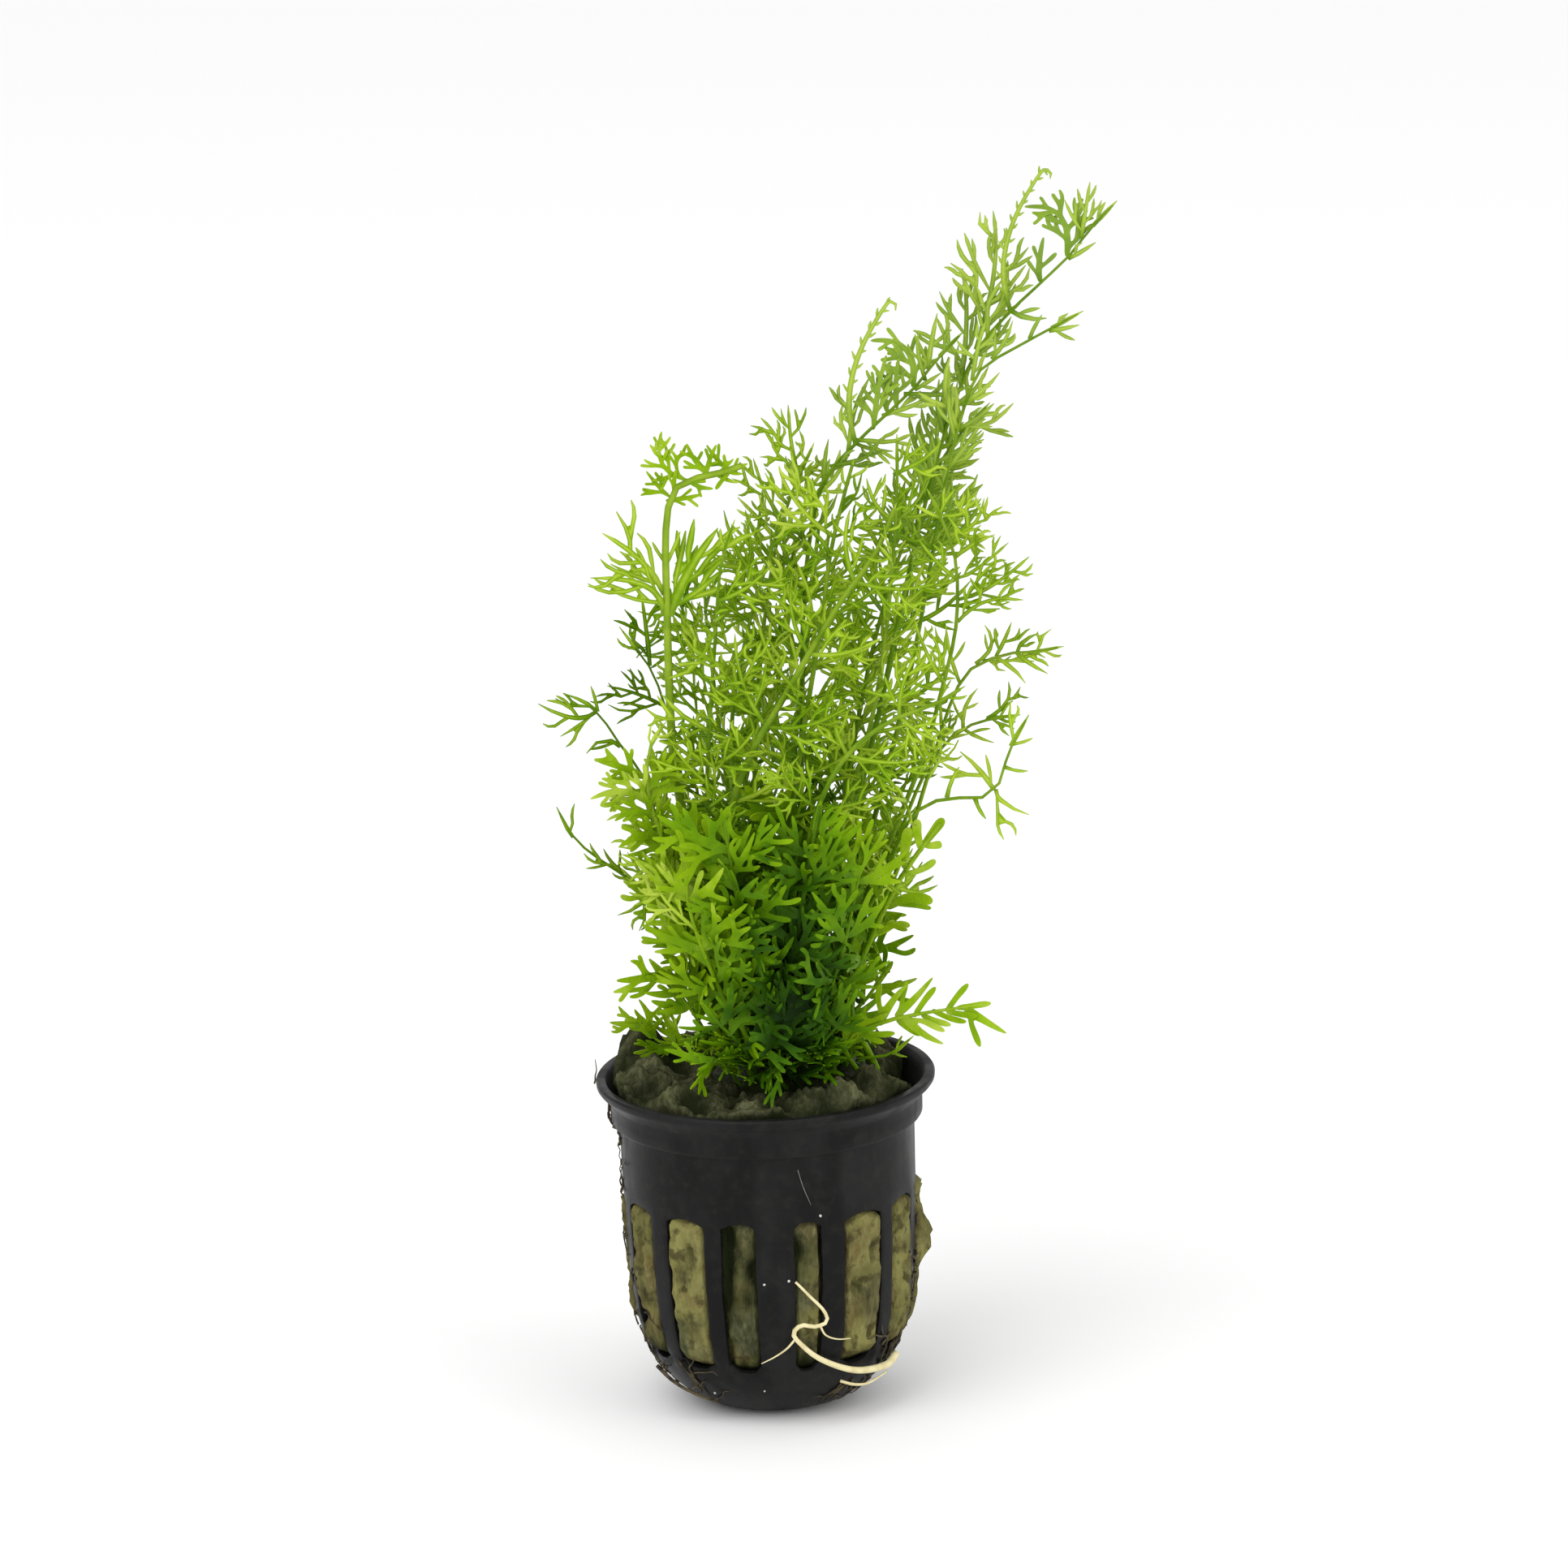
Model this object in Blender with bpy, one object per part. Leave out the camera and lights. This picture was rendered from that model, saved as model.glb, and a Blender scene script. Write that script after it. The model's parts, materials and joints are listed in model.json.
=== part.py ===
"""Potted water sprite: the fern's fronds on a short rootstock, in rock wool, in a slotted net pot.

Lengths are millimetres in the plan below and metres in the finished objects. The origin is the
middle of the pot's underside, and the photographed front faces -Y.
"""

import bisect
import itertools
import math
import random

import bmesh
import bpy
import numpy as np
from mathutils import Vector

MM = 0.001
SHARP = math.radians(40.0)         # edges that turn more than this stay sharp

# net pot
SLOTS = 14
TURN = math.radians(-11.5)         # angle of one slot from the front
POT_OUTER = ((0.0, 0.0), (9.6, 0.0), (12.6, 1.1), (16.9, 4.5), (20.3, 9.6), (22.6, 16.5), (23.4, 35.3),
             (23.5, 46.2), (24.8, 46.9), (24.9, 50.2), (26.9, 52.3), (27.0, 53.5))
POT_INNER = ((25.4, 53.5), (23.7, 50.2), (22.4, 45.8), (22.3, 35.3), (21.5, 16.8), (19.2, 10.2), (14.6, 4.2),
             (9.3, 1.2), (0.0, 1.2))
SLOT_LOW, SLOT_HIGH = 9.0, 36.0    # heights between which the slots are cut

# rock wool
GAP = 0.35                         # free space kept between two pieces
WOOL_SIDE = ((8.9, 1.6), (13.9, 4.5), (18.8, 10.4), (21.1, 16.8), (21.9, 35.3), (22.0, 45.8),
             (23.2, 50.2))
BULGE_OUT = 1.6                    # how far the wool stands out of each slot, from inside the wall
WOOL_RINGS = (20.0, 15.0, 10.0)     # radii of the rings of the wool's top
WOOL_TOP = 52.6

# rootstock
CROWN = (4.0, 0.0, 53.2)           # middle of its underside
CROWN_WIDE = 13.4
CROWN_TOP = 57.3
CROWN_FALL = 0.0208                # how fast the dome falls away from its middle

# fronds
THICK = 0.55                       # thickness of a pinna
REACH = 1.25                       # least distance between points of two blades
FOOT = 0.9                         # half the length of stalk that carries a pinna
LONG = 16.0                        # a pinna longer than this has a second step
NEIGHBOURS = tuple((a, b, c) for a in (-1, 0, 1) for b in (-1, 0, 1) for c in (-1, 0, 1))

# name, stalk widths, way the blade faces, lobe width, stalk line from the rootstock,
# pinnae (share of the stalk, tip, point passed on the way), and filling pinnae
# (first share, last share, pairs, length, angle)
FRONDS = (
    ("tall_left", (1.7, 1), (-0.25, -1, 0.25), 0.8,
     ((-2.6, -2.2, 56.9), (-7.4, -6, 74.5), (-10.6, -9, 94.2), (-12.5, -10, 106.5), (-12.9, -10, 119.7),
      (-12.8, -10, 132.2), (-12.6, -9, 144.5), (-11.4, -9, 151), (-8.7, -9, 153.2), (-4, -9, 154.2),
      (0.7, -9, 155.6)),
     ((0.705, (-24.6, -12, 138.8), (-16.1, -11, 137)), (0.725, (-22.5, -9, 145.2), (-16.8, -9.4, 140.8)),
      (0.720, (-5, -10, 145.1), (-9.5, -10, 138.5)), (0.745, (2.5, -12, 147.3), (-3.8, -10.8, 143)),
      (0.785, (-14.7, -9, 143.5), None), (0.790, (-10.3, -8, 144.8), None), (0.875, (-15.3, -9, 155),
      (-13.3, -9, 152.3)), (0.880, (-12.6, -9, 161.3), (-12.8, -9, 156.3)), (0.905, (-8.8, -9, 159.2),
      None), (0.925, (-5.7, -9, 158.9), None), (0.950, (-4.5, -9, 151.6), None),
      (0.960, (-2.6, -8, 157.5), None)),
     None),
    ("plume_main", (1.6, 0.5), (0.37, -1, 0.25), 1,
     ((6.6, 1.4, 57.7), (7.9, 3, 68.6), (13.7, 5, 88), (19.3, 6, 107.6), (23.7, 6, 126.1),
      (28.4, 5, 144.7), (33.3, 4, 160.6), (37.4, 3, 169.8), (42.6, 2, 175.9), (47.6, 1, 180.7),
      (52.4, 0, 185.4), (55.5, 0, 189.3), (59.7, -1, 193.8)),
     ((0.745, (35.6, 5, 181.9), (35.9, 4.3, 174.8)), (0.780, (40.7, 3, 190.9), (40.4, 3, 181.5)),
      (0.835, (48.1, 1, 198.4), (42.3, 1.5, 187)), (0.835, (48.3, 3, 174.4), (45.5, 2.5, 174.6)),
      (0.880, (48.1, 0, 188.2), (47.3, 0.5, 183.8)), (0.920, (45.3, 2, 192.2), (50.8, 1, 191)),
      (0.945, (55.6, 0, 196.7), (54.7, 0, 191.8)), (0.930, (56.2, 0, 187.5), None)),
     (0.5, 0.72, 2, 9, 40)),
    ("plume_side", (1.5, 0.5), (0.37, -1, 0.25), 1,
     ((8.9, -0.8, 57.4), (9.8, -2, 70), (16.9, -3, 90.1), (22.7, -3, 109.9), (27.1, -3, 128.3),
      (30.8, -3, 146.6), (33.7, -4, 158.6), (37.1, -4, 167.6), (42.3, -5, 171.3), (49.4, -5, 175),
      (53.9, -5, 177.3)),
     ((0.785, (32.8, -5, 170.6), (32, -4.5, 165.3)), (0.845, (38.6, -5, 176.3), (37.2, -4.5, 171.6)),
      (0.880, (42.8, -5, 176.1), (41.5, -4.8, 172.9)), (0.890, (49.9, -6, 170.6), (45.7, -5.4, 170.8)),
      (0.930, (47.4, -5, 176.9), None), (0.955, (53.2, -6, 175.3), None), (0.795, (39.1, -6, 163.6),
      None)),
     (0.55, 0.72, 1, 10, 40)),
    ("second_main", (1.6, 0.5), (0.07, -1, 0.25), 1,
     ((1, 1.6, 57.6), (4.7, 1, 69.3), (6.6, 2, 89.1), (7.7, 2, 109.1), (8.6, 1, 129.2), (10.3, 0, 142.6),
      (12.5, -1, 150.5), (17.8, -2, 156.6), (22.7, -2, 161.1), (27.6, -2, 165.6), (30.8, -2, 169.6),
      (35.1, -3, 174.2)),
     ((0.685, (10.7, 1, 162.5), (10.1, 0.4, 154.4)), (0.740, (15.8, 0, 171.3), (15.5, -0.5, 161.6)),
      (0.805, (23.3, -1, 178.6), (17.5, -1.5, 167.4)), (0.810, (23.5, 1, 154.3), None),
      (0.860, (23.4, -2, 168.4), (22.5, -2, 164.4)), (0.905, (20.5, 0, 172.5), (26, -1, 171.2)),
      (0.935, (31.1, -2, 177), (30, -2, 172.1)), (0.915, (31.5, -2, 167.6), None)),
     (0.42, 0.62, 1, 10, 42)),
    ("second_side", (1.4, 0.5), (0.24, -1, 0.25), 1,
     ((5.6, 5.2, 57.2), (7.9, 8, 67.2), (12.5, 11, 86.3), (16.3, 12, 106), (20.8, 11, 124.8),
      (26.4, 10, 140.8), (32.5, 9, 152.5), (39.1, 8, 159.9)),
     ((0.880, (36.4, 9, 153.9), None), (0.860, (26.3, 10, 158), (27.2, 9.7, 152.8)),
      (0.915, (34.1, 9, 163.2), (33.4, 9, 158.7)), (0.835, (35, 10, 148.7), None)),
     (0.48, 0.8, 2, 12, 42)),
    ("third_top", (1.5, 0.5), (-0.04, -1, 0.25), 1,
     ((1.2, -2.5, 57.6), (0.2, -2, 70.4), (-0.4, -1, 90.2), (0.5, 0, 109.9), (2.1, 1, 125.5),
      (4.4, 2, 138.4), (7.3, 3, 147.3), (11.2, 4, 155.4)),
     ((0.895, (3.3, 3, 151), None), (0.920, (6.6, 4, 153.4), None), (0.790, (-2.4, 2, 143.2),
      (0.3, 1.9, 140.1)), (0.940, (13.3, 4, 153.4), None)),
     (0.45, 0.84, 2, 12, 42)),
    ("right_upper", (1.5, 0.6), (0.36, -1, 0.25), 1,
     ((10.9, -3.6, 56.6), (13.1, -6, 73.8), (20.1, -9, 91.7), (26.2, -11, 106.7), (29.8, -12, 118.7),
      (32.4, -12, 129.2), (32.6, -11, 139.4), (30.4, -10, 146.4), (28.5, -10, 150.8)),
     ((0.680, (25.7, -13, 131), (27.4, -12.5, 125.5)), (0.780, (41.8, -16, 134.1), (36.8, -14, 133.2)),
      (0.810, (44.1, -14, 140.3), (38.1, -12.9, 135.5)), (0.820, (41, -12, 142.2), (36.1, -11.8, 138.2)),
      (0.865, (27, -12, 143.1), None), (0.880, (38.9, -13, 143.8), (35.6, -12, 142.2)),
      (0.905, (37.4, -11, 149.2), (35.7, -10.8, 145.1)), (0.920, (34.9, -10, 150.9), (34.2, -10.2, 147)),
      (0.935, (26.6, -10, 148.3), None)),
     None),
    ("right_mid", (1.4, 0.5), (0.36, -1, 0.25), 1,
     ((13.8, -1.6, 55.8), (15.7, 1, 70.3), (22.7, 3, 86.9), (27.7, 4, 101.2), (31.2, 4, 111.7),
      (34.6, 3, 117.8), (40.4, 2, 120.4), (44.9, 1, 120.9), (49.5, 0, 121.9)),
     ((0.615, (22.9, 5, 113.1), (24.7, 4.5, 108.4)), (0.775, (31, 5, 124.7), (31.5, 4.2, 120.3)),
      (0.825, (37.1, 4, 124.8), (38.1, 3.4, 121.6)), (0.860, (41.8, 3, 125.8), (40.5, 2.7, 123)),
      (0.900, (45.5, 1, 123.9), (43.2, 1.4, 122.6)), (0.875, (43.3, 2, 115.5), (41.6, 2.1, 117.7)),
      (0.930, (46.8, 0, 117.5), None)),
     None),
    ("right_low_mid", (1.3, 0.5), (0.3, -1, 0.25), 1,
     ((13.4, 4.3, 55.6), (14.4, 6, 67.5), (20.1, 8, 82.9), (25, 9, 95.2), (28.4, 9, 101.8),
      (32.4, 8, 106.2), (36.9, 7, 108.4), (42.5, 6, 109.3)),
     ((0.705, (22.2, 10, 107.7), (24.4, 9.6, 104.4)), (0.795, (30, 10, 111.4), None),
      (0.855, (35.8, 9, 113.1), (33.8, 8.4, 110.4)), (0.920, (40.7, 8, 114.3), (40.3, 7.5, 111.1)),
      (0.940, (42.4, 6, 111.8), None), (0.865, (38.1, 7, 104.6), None)),
     None),
    ("right_arch", (1.3, 0.5), (0.29, -1, 0.25), 1,
     ((13.5, -4, 55.6), (13.7, -8, 73), (19.2, -10, 86.7), (24, -12, 97.7), (29.2, -13, 101.2),
      (35.9, -13, 101.3), (38.9, -13, 104.4), (40, -12, 108.4), (43.4, -11, 113.9)),
     ((0.715, (32.2, -12, 106.1), None), (0.785, (42.9, -15, 98.7), (39.1, -14, 100.4)),
      (0.775, (36.1, -14, 98), None), (0.835, (32.4, -11, 108.3), (35.1, -12, 105.8)),
      (0.875, (42.9, -13, 105.3), None), (0.905, (37.5, -12, 113.3), (39.1, -12.1, 110.7)),
      (0.930, (43.8, -13, 110.6), None)),
     None),
    ("left_spray", (1.2, 0.4), (-0.28, -1, 0.25), 1,
     ((-4.9, -1.4, 56.2), (-8.9, 2, 69.5), (-12.2, 3, 84.1), (-15, 3, 96.3), (-18.6, 2, 104),
      (-22, 1, 109.4), (-23.8, 1, 112.6), (-26.2, 1, 115.1), (-29.4, 2, 116.4)),
     ((0.620, (-13.8, 3, 105.6), None), (0.815, (-26.5, 0, 107.1), (-23.9, 0.6, 109)),
      (0.845, (-30.3, -1, 110.5), (-26, -0, 110.9)), (0.895, (-33.8, 0, 115.5), (-28.5, 0.5, 112.9)),
      (0.915, (-25.4, 2, 117.6), None), (0.685, (-21.9, 1, 100.4), None)),
     None),
    ("left_droop", (1.2, 0.4), (-0.33, -1, 0.25), 1,
     ((-6, 0.8, 55.8), (-7.8, 6, 62.9), (-11.3, 7, 72.2), (-16.2, 7, 80.2), (-21.2, 6, 85),
      (-25.6, 5, 88.6), (-29.3, 4, 92.5), (-31.6, 4, 97.4)),
     ((0.525, (-19, 7, 75.7), None), (0.560, (-22.6, 6, 78.6), (-19.5, 6.5, 79.7)),
      (0.630, (-20.7, 6, 89), None), (0.685, (-24.7, 5, 91), (-23.4, 5.5, 88.1)),
      (0.755, (-27.3, 5, 86.8), None), (0.365, (-13.6, 8, 80.1), None)),
     None),
    ("left_thin", (1.2, 0.4), (-0.23, -1, 0.25), 1,
     ((-3.5, 2.5, 56.6), (-8.8, 5, 71.3), (-10.8, 7, 88.3), (-11.8, 7, 101.8), (-13.2, 6, 110.1),
      (-15.5, 5, 118.4), (-18.5, 4, 123.5), (-20.6, 4, 126.6)),
     ((0.450, (-6.6, 8, 96.6), None), (0.605, (-7.7, 8, 109.3), (-9.1, 7.5, 104.8)),
      (0.790, (-22.8, 3, 117.2), (-18.2, 4.3, 115.4)), (0.825, (-19.9, 5, 128.7), (-16.6, 5.2, 122.4)),
      (0.890, (-16.9, 6, 131.2), (-16.3, 5.4, 125))),
     None),
    ("left_broad", (1.5, 0.7), (-0.27, -1, 0.25), 1.2,
     ((-5, -5.7, 55.4), (-9.2, -9, 68.8), (-12.5, -12, 84.5), (-15, -14, 97.1), (-17, -15, 105.4),
      (-15.9, -15, 112.6), (-13.4, -14, 115.8)),
     ((0.540, (-18.1, -16, 90.5), None), (0.685, (-21.8, -17, 96.2), (-18.4, -15.5, 97.6)),
      (0.735, (-22.2, -17, 100.6), (-19, -15.7, 101.7)), (0.790, (-25.9, -17, 104.3),
      (-21, -15.9, 105.1)), (0.825, (-24.6, -15, 109.9), (-20.9, -15, 108.8)), (0.780, (-10, -14, 110.1),
      (-13.4, -14.4, 106.4)), (0.640, (-9, -15, 103.1), (-11.1, -14.3, 99))),
     None),
    ("low_left", (1.4, 0.7), (-0.23, -1, 0.25), 1.3,
     ((-6.6, -3.5, 55.2), (-7.8, -5, 64.8), (-10.7, -6, 73.3), (-13.4, -7, 80.4), (-16.4, -7, 88.5)),
     ((0.535, (-16.1, -8, 76.5), None), (0.670, (-17.5, -8, 80.1), None), (0.755, (-8.8, -7, 90.9),
      (-10.3, -7, 85.6)), (0.860, (-18.7, -8, 88.9), None)),
     None),
    ("low_left_fan", (1.2, 0.6), (-0.23, -1, 0.25), 1.2,
     ((-8, -0.9, 54.9), (-9.4, -9, 64.1), (-13, -12, 70.5), (-17.7, -14, 77.1)),
     ((0.605, (-16.4, -13, 68.1), None), (0.705, (-18.6, -14, 71.5), None), (0.770, (-18.2, -15, 74.5),
      None), (0.655, (-11.2, -13, 76.7), None)),
     None),
    ("low_left_tip", (1, 0.4), (-0.31, -1, 0.25), 1,
     ((-8.1, 2.9, 54.7), (-10.3, 2, 57.7), (-16.4, 2, 58.4), (-21.2, 2, 63)),
     ((0.480, (-16.6, 3, 64.1), None), (0.680, (-19.4, 2, 62.6), None), (0.480, (-19.9, 1, 56.5), None)),
     None),
    ("low_right", (1.5, 0.8), (0.22, -1, 0.25), 1.3,
     ((16, -2.9, 54.7), (11.6, -7, 66.1), (17, -9, 77.2), (21.8, -11, 86.9), (25.8, -12, 93),
      (29.5, -12, 97.8)),
     ((0.545, (23.7, -12, 80.5), (20.9, -10.6, 80.2)), (0.645, (27.4, -13, 84.4), (23.6, -11.6, 85)),
      (0.700, (29.2, -13, 88), (25, -11.9, 87)), (0.795, (30.3, -13, 90.4), (27, -12.3, 90.8)),
      (0.675, (18.1, -11, 93), (18.7, -10.8, 89)), (0.805, (24, -12, 97.1), None),
      (0.895, (29.1, -12, 93.6), None)),
     None),
    ("low_right_fan", (1.2, 0.5), (0.18, -1, 0.25), 1.2,
     ((16.7, 1.6, 54.5), (13.4, 2, 60.4), (17.1, 3, 64.9), (20.9, 3, 70.3)),
     ((0.645, (22.3, 3, 67), None), (0.545, (14.4, 4, 70.8), None), (0.445, (20, 3, 62.1), None),
      (0.785, (17.7, 4, 72), None)),
     None),
    ("low_right_long", (1.3, 0.5), (0.28, -1, 0.25), 1.1,
     ((14.4, -5.4, 54.9), (12, -10, 60.9), (17.9, -12, 64.4), (24.3, -13, 66.1), (30.1, -14, 67.1),
      (36.1, -14, 67.8)),
     ((0.360, (19, -13, 61.6), None), (0.410, (21.7, -12, 70.8), (19.2, -11.9, 67.2)),
      (0.550, (27.1, -12, 71.9), (24.1, -12.3, 68.5)), (0.570, (24.8, -14, 62.9), None),
      (0.630, (29.6, -15, 64.7), None), (0.790, (33.9, -15, 66), None)),
     None),
    ("low_right_tip", (1, 0.4), (0.23, -1, 0.25), 1,
     ((16.5, -1, 54.7), (15.2, -4, 56.6), (19.7, -4, 57.1), (23.8, -4, 59.9)),
     ((0.490, (18.3, -6, 54.5), None), (0.635, (22.6, -5, 56.7), None)),
     None),
    ("mid_diagonal", (1.7, 0.7), (-0.08, -1, 0.25), 1,
     ((1.9, -5.1, 57.2), (-4.1, -12, 80.1), (-4, -14, 99.3), (-0.5, -15, 110.1), (4.2, -15, 117.8),
      (9.6, -15, 126.8), (15, -14, 134.9), (20.3, -13, 141.7), (23.7, -12, 149.2)),
     (),
     (0.4, 0.93, 4, 15, 48)),
    ("mid_sweep", (1.5, 0.6), (0.29, -1, 0.25), 1,
     ((6.4, -5.9, 56.9), (6.2, -14, 80.4), (8.7, -17, 98.4), (14.1, -18, 109.7), (21.3, -18, 115.4),
      (28.4, -17, 117.7), (33.5, -16, 120.3)),
     (),
     (0.4, 0.92, 4, 13, 50)),
    ("mid_front", (1.6, 0.7), (0.23, -1, 0.25), 1,
     ((3.4, -4, 57.5), (3, -9, 79), (5.6, -11, 99.5), (8.7, -12, 116.8), (11.5, -11, 131),
      (12.9, -10, 139.9), (14.8, -9, 147.4), (17.3, -8, 155.6)),
     (),
     (0.42, 0.94, 4, 15, 48)),
    ("mid_left", (1.5, 0.6), (-0.56, -1, 0.25), 1,
     ((-1.1, -5.5, 56.6), (-6.6, -12, 80.2), (-7.6, -13, 100.5), (-6.6, -13, 116.3), (-5.3, -12, 129.2),
      (-4.2, -11, 139.4), (-1.7, -10, 146.9)),
     (),
     (0.36, 0.93, 4, 13, 48)),
    ("mid_left_inner", (1.5, 0.6), (-0.37, -1, 0.25), 1,
     ((-0.1, -2.6, 57.4), (-3.2, -5, 78.1), (-3.4, -6, 98.4), (-3.2, -6, 114.3), (0.3, -6, 130.1),
      (3.8, -5, 140.2), (6, -4, 147.8)),
     (),
     (0.38, 0.93, 4, 14, 48)),
    ("mid_right", (1.5, 0.6), (0.78, -1, 0.25), 1,
     ((8.6, -3.5, 57.2), (9.4, -8, 78.5), (14.5, -9, 98.6), (18.9, -9, 114.3), (21.4, -9, 127.4),
      (22.8, -9, 139.2), (23.8, -9, 149.7), (24.1, -9, 159.5)),
     (),
     (0.36, 0.94, 4, 14, 48)),
    ("mid_right_back", (1.4, 0.6), (0.3, 1, 0.3), 1,
     ((9.7, 5.1, 56.6), (9.4, 10, 73.3), (15.3, 14, 92.1), (21.1, 16, 111.5), (25.2, 17, 127.1),
      (27.1, 17, 139), (28.7, 16, 148.5)),
     (),
     (0.36, 0.93, 4, 14, 48)),
    ("mid_left_back", (1.4, 0.6), (-0.3, 1, 0.3), 1,
     ((0.5, 5.5, 56.9), (-2.2, 11, 73.4), (-4.1, 14, 92.8), (-5.8, 16, 111.1), (-6.9, 17, 124.3),
      (-6.8, 17, 133.6)),
     (),
     (0.36, 0.93, 4, 14, 48)),
    ("mid_back", (1.4, 0.6), (0, 1, 0.3), 1,
     ((4.3, 7.2, 56.6), (3.6, 14, 72.3), (5.6, 18, 91.4), (7.6, 21, 110.6), (10, 22, 126.3),
      (11.7, 22, 138.3)),
     (),
     (0.34, 0.93, 4, 14, 48)),
    ("front_left", (1.5, 0.8), (-0.34, -1, 0.25), 1.4,
     ((1.7, -9.7, 55.4), (-1.2, -17, 70.2), (-2.7, -20, 82.4), (-4, -22, 93.6), (-5.4, -23, 103.9)),
     (),
     (0.32, 0.92, 3, 13, 50)),
    ("front_right", (1.5, 0.8), (0.11, -1, 0.25), 1.4,
     ((6.5, -9.6, 55.4), (4.2, -18, 71.6), (6.2, -21, 84.4), (8.5, -22, 95.8), (10.3, -22, 104.3)),
     (),
     (0.32, 0.92, 3, 13, 50)),
    ("front_far_left", (1.4, 0.8), (-0.64, -1, 0.25), 1.4,
     ((-2.2, -8.2, 55.4), (-5.1, -15, 67.7), (-8.4, -18, 77.4), (-10.9, -20, 86.7), (-11.6, -21, 96.3)),
     (),
     (0.32, 0.92, 3, 11, 50)),
    ("front_far_right", (1.4, 0.8), (0.47, -1, 0.25), 1.4,
     ((11.1, -7.6, 55.4), (10.3, -15, 68.5), (13.1, -18, 79.3), (15.4, -19, 89.4), (17.3, -19, 98)),
     (),
     (0.32, 0.92, 3, 11, 50)),
    ("front_core", (1.4, 0.8), (-0.11, -1, 0.25), 1.3,
     ((4, -8.1, 56.2), (1, -12, 67.9), (1.7, -15, 80.8), (2.3, -16, 91), (2.4, -16, 100.3)),
     (),
     (0.34, 0.92, 3, 10, 50)),
    ("front_low_left", (1.1, 0.6), (-0.43, -1, 0.25), 1.3,
     ((-0.4, -10.8, 54.5), (-3.4, -18, 63.2), (-7.1, -21, 68), (-9.9, -22, 72.4)),
     (),
     (0.35, 0.9, 2, 8, 50)),
    ("front_low_mid", (1.1, 0.6), (-0.07, -1, 0.25), 1.3,
     ((5.1, -11.7, 54.4), (2.3, -18, 61.7), (3.1, -22, 67.9), (2.4, -23, 74.5)),
     (),
     (0.35, 0.9, 2, 9, 52)),
    ("front_low_right", (1.1, 0.6), (0.27, -1, 0.25), 1.3,
     ((10.4, -10, 54.5), (8.1, -17, 61.8), (11.4, -20, 66.2), (14.1, -21, 71.5)),
     (),
     (0.35, 0.9, 2, 8, 50)),
    ("front_hem_left", (0.9, 0.5), (-0.53, -1, 0.25), 1.1,
     ((-4.1, -9.4, 54.3), (-6.4, -16, 59.8), (-9.2, -18, 61.4), (-11.8, -19, 60.9)),
     (),
     (0.4, 0.85, 1, 6, 50)),
    ("front_hem_right", (0.9, 0.5), (-0.16, -1, 0.25), 1.1,
     ((3.5, -11.9, 54.3), (0.7, -16, 59), (1.6, -19.5, 59.5), (2.7, -23, 58.6)),
     (),
     (0.5, 0.8, 1, 5, 60)),
    ("back_left", (1.4, 0.7), (-0.5, 1, 0.3), 1.3,
     ((-4.4, 6.4, 55.4), (-5.2, 12, 61.1), (-8.8, 16, 70.8), (-11, 19, 80.9), (-11.9, 21, 91.1)),
     (),
     (0.32, 0.92, 3, 12, 50)),
    ("back_mid", (1.4, 0.7), (0, 1, 0.3), 1.3,
     ((3, 9.9, 55.4), (0.6, 15, 60), (1, 20, 70.7), (0.8, 24, 81.7), (0.4, 26, 90.7)),
     (),
     (0.36, 0.92, 2, 14, 50)),
    ("back_right", (1.4, 0.7), (0.5, 1, 0.3), 1.3,
     ((11.1, 7.6, 55.4), (9, 12, 60.5), (13.3, 16, 70), (16.9, 19, 79.9), (19.2, 21, 88.7)),
     (),
     (0.32, 0.92, 3, 12, 50)),
    ("back_low", (1.1, 0.6), (0.2, 1, 0.3), 1.3,
     ((8.4, 10.8, 54.5), (5.7, 16, 57), (8.5, 20, 60.9), (10.6, 22, 65.9)),
     (),
     (0.35, 0.9, 2, 9, 50)),
)

# name, widths, line, steps, branches (width, line from the root)
ROOT_FACE = Vector((0.2, -1.0, 0.1))
ROOTS = (
    ("root_front", (1.3, 0.4),
     ((19.8, -8.1, 10.0), (18.1, -12.4, 8.8), (12.5, -18.3, 9.7), (7.1, -22.0, 12.7), (3.7, -24.1, 16.1),
      (3.1, -24.6, 17.7), (4.4, -25.0, 19.0), (6.5, -24.9, 18.7), (8.4, -24.8, 19.4), (7.9, -24.8, 21.3),
      (5.9, -24.7, 23.6), (3.6, -24.8, 25.8)), 20,
     ((0.4, ((3.4, -24.3, 16.6), (1.9, -24.3, 15.0), (-0.1, -23.9, 13.5), (-2.2, -23.2, 12.3))),
      (0.4, ((7.3, -24.8, 18.6), (8.1, -24.3, 17.0), (9.9, -23.4, 16.0), (12.0, -22.2, 15.6))))),
    ("root_curl", (0.5, 0.3),
     ((10.2, -18.2, 7.4), (12.2, -17.7, 6.6), (14.3, -16.1, 6.1), (16.2, -13.7, 6.3), (17.8, -11.4, 6.6)), 6, ()),
    ("root_left", (0.7, 0.35),
     ((-18.8, -10.4, 8.4), (-16.3, -13.1, 6.6), (-12.9, -15.0, 5.0), (-8.9, -14.8, 3.3)), 6, ()),
)

# wool lumps on top: x, y, spread, rise
WOOL_LUMPS = (
    (-19.5, 7.5, 5.5, 5.6),
    (-22.5, -1.0, 3.0, -3.0),
    (19.5, 7.5, 6.0, -6.0),
    (12.0, -17.0, 7.5, 2.2),
    (-12.0, -17.0, 6.0, -0.8),
    (-16.0, -6.0, 4.0, 1.0),
    (0.0, 20.0, 7.0, 1.0),
)


def crown_height(x, y):
    """Height of the rootstock's dome, in millimetres."""
    return CROWN_TOP - CROWN_FALL * ((x - CROWN[0]) ** 2 + ((y - CROWN[1]) / 0.9) ** 2)


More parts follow.
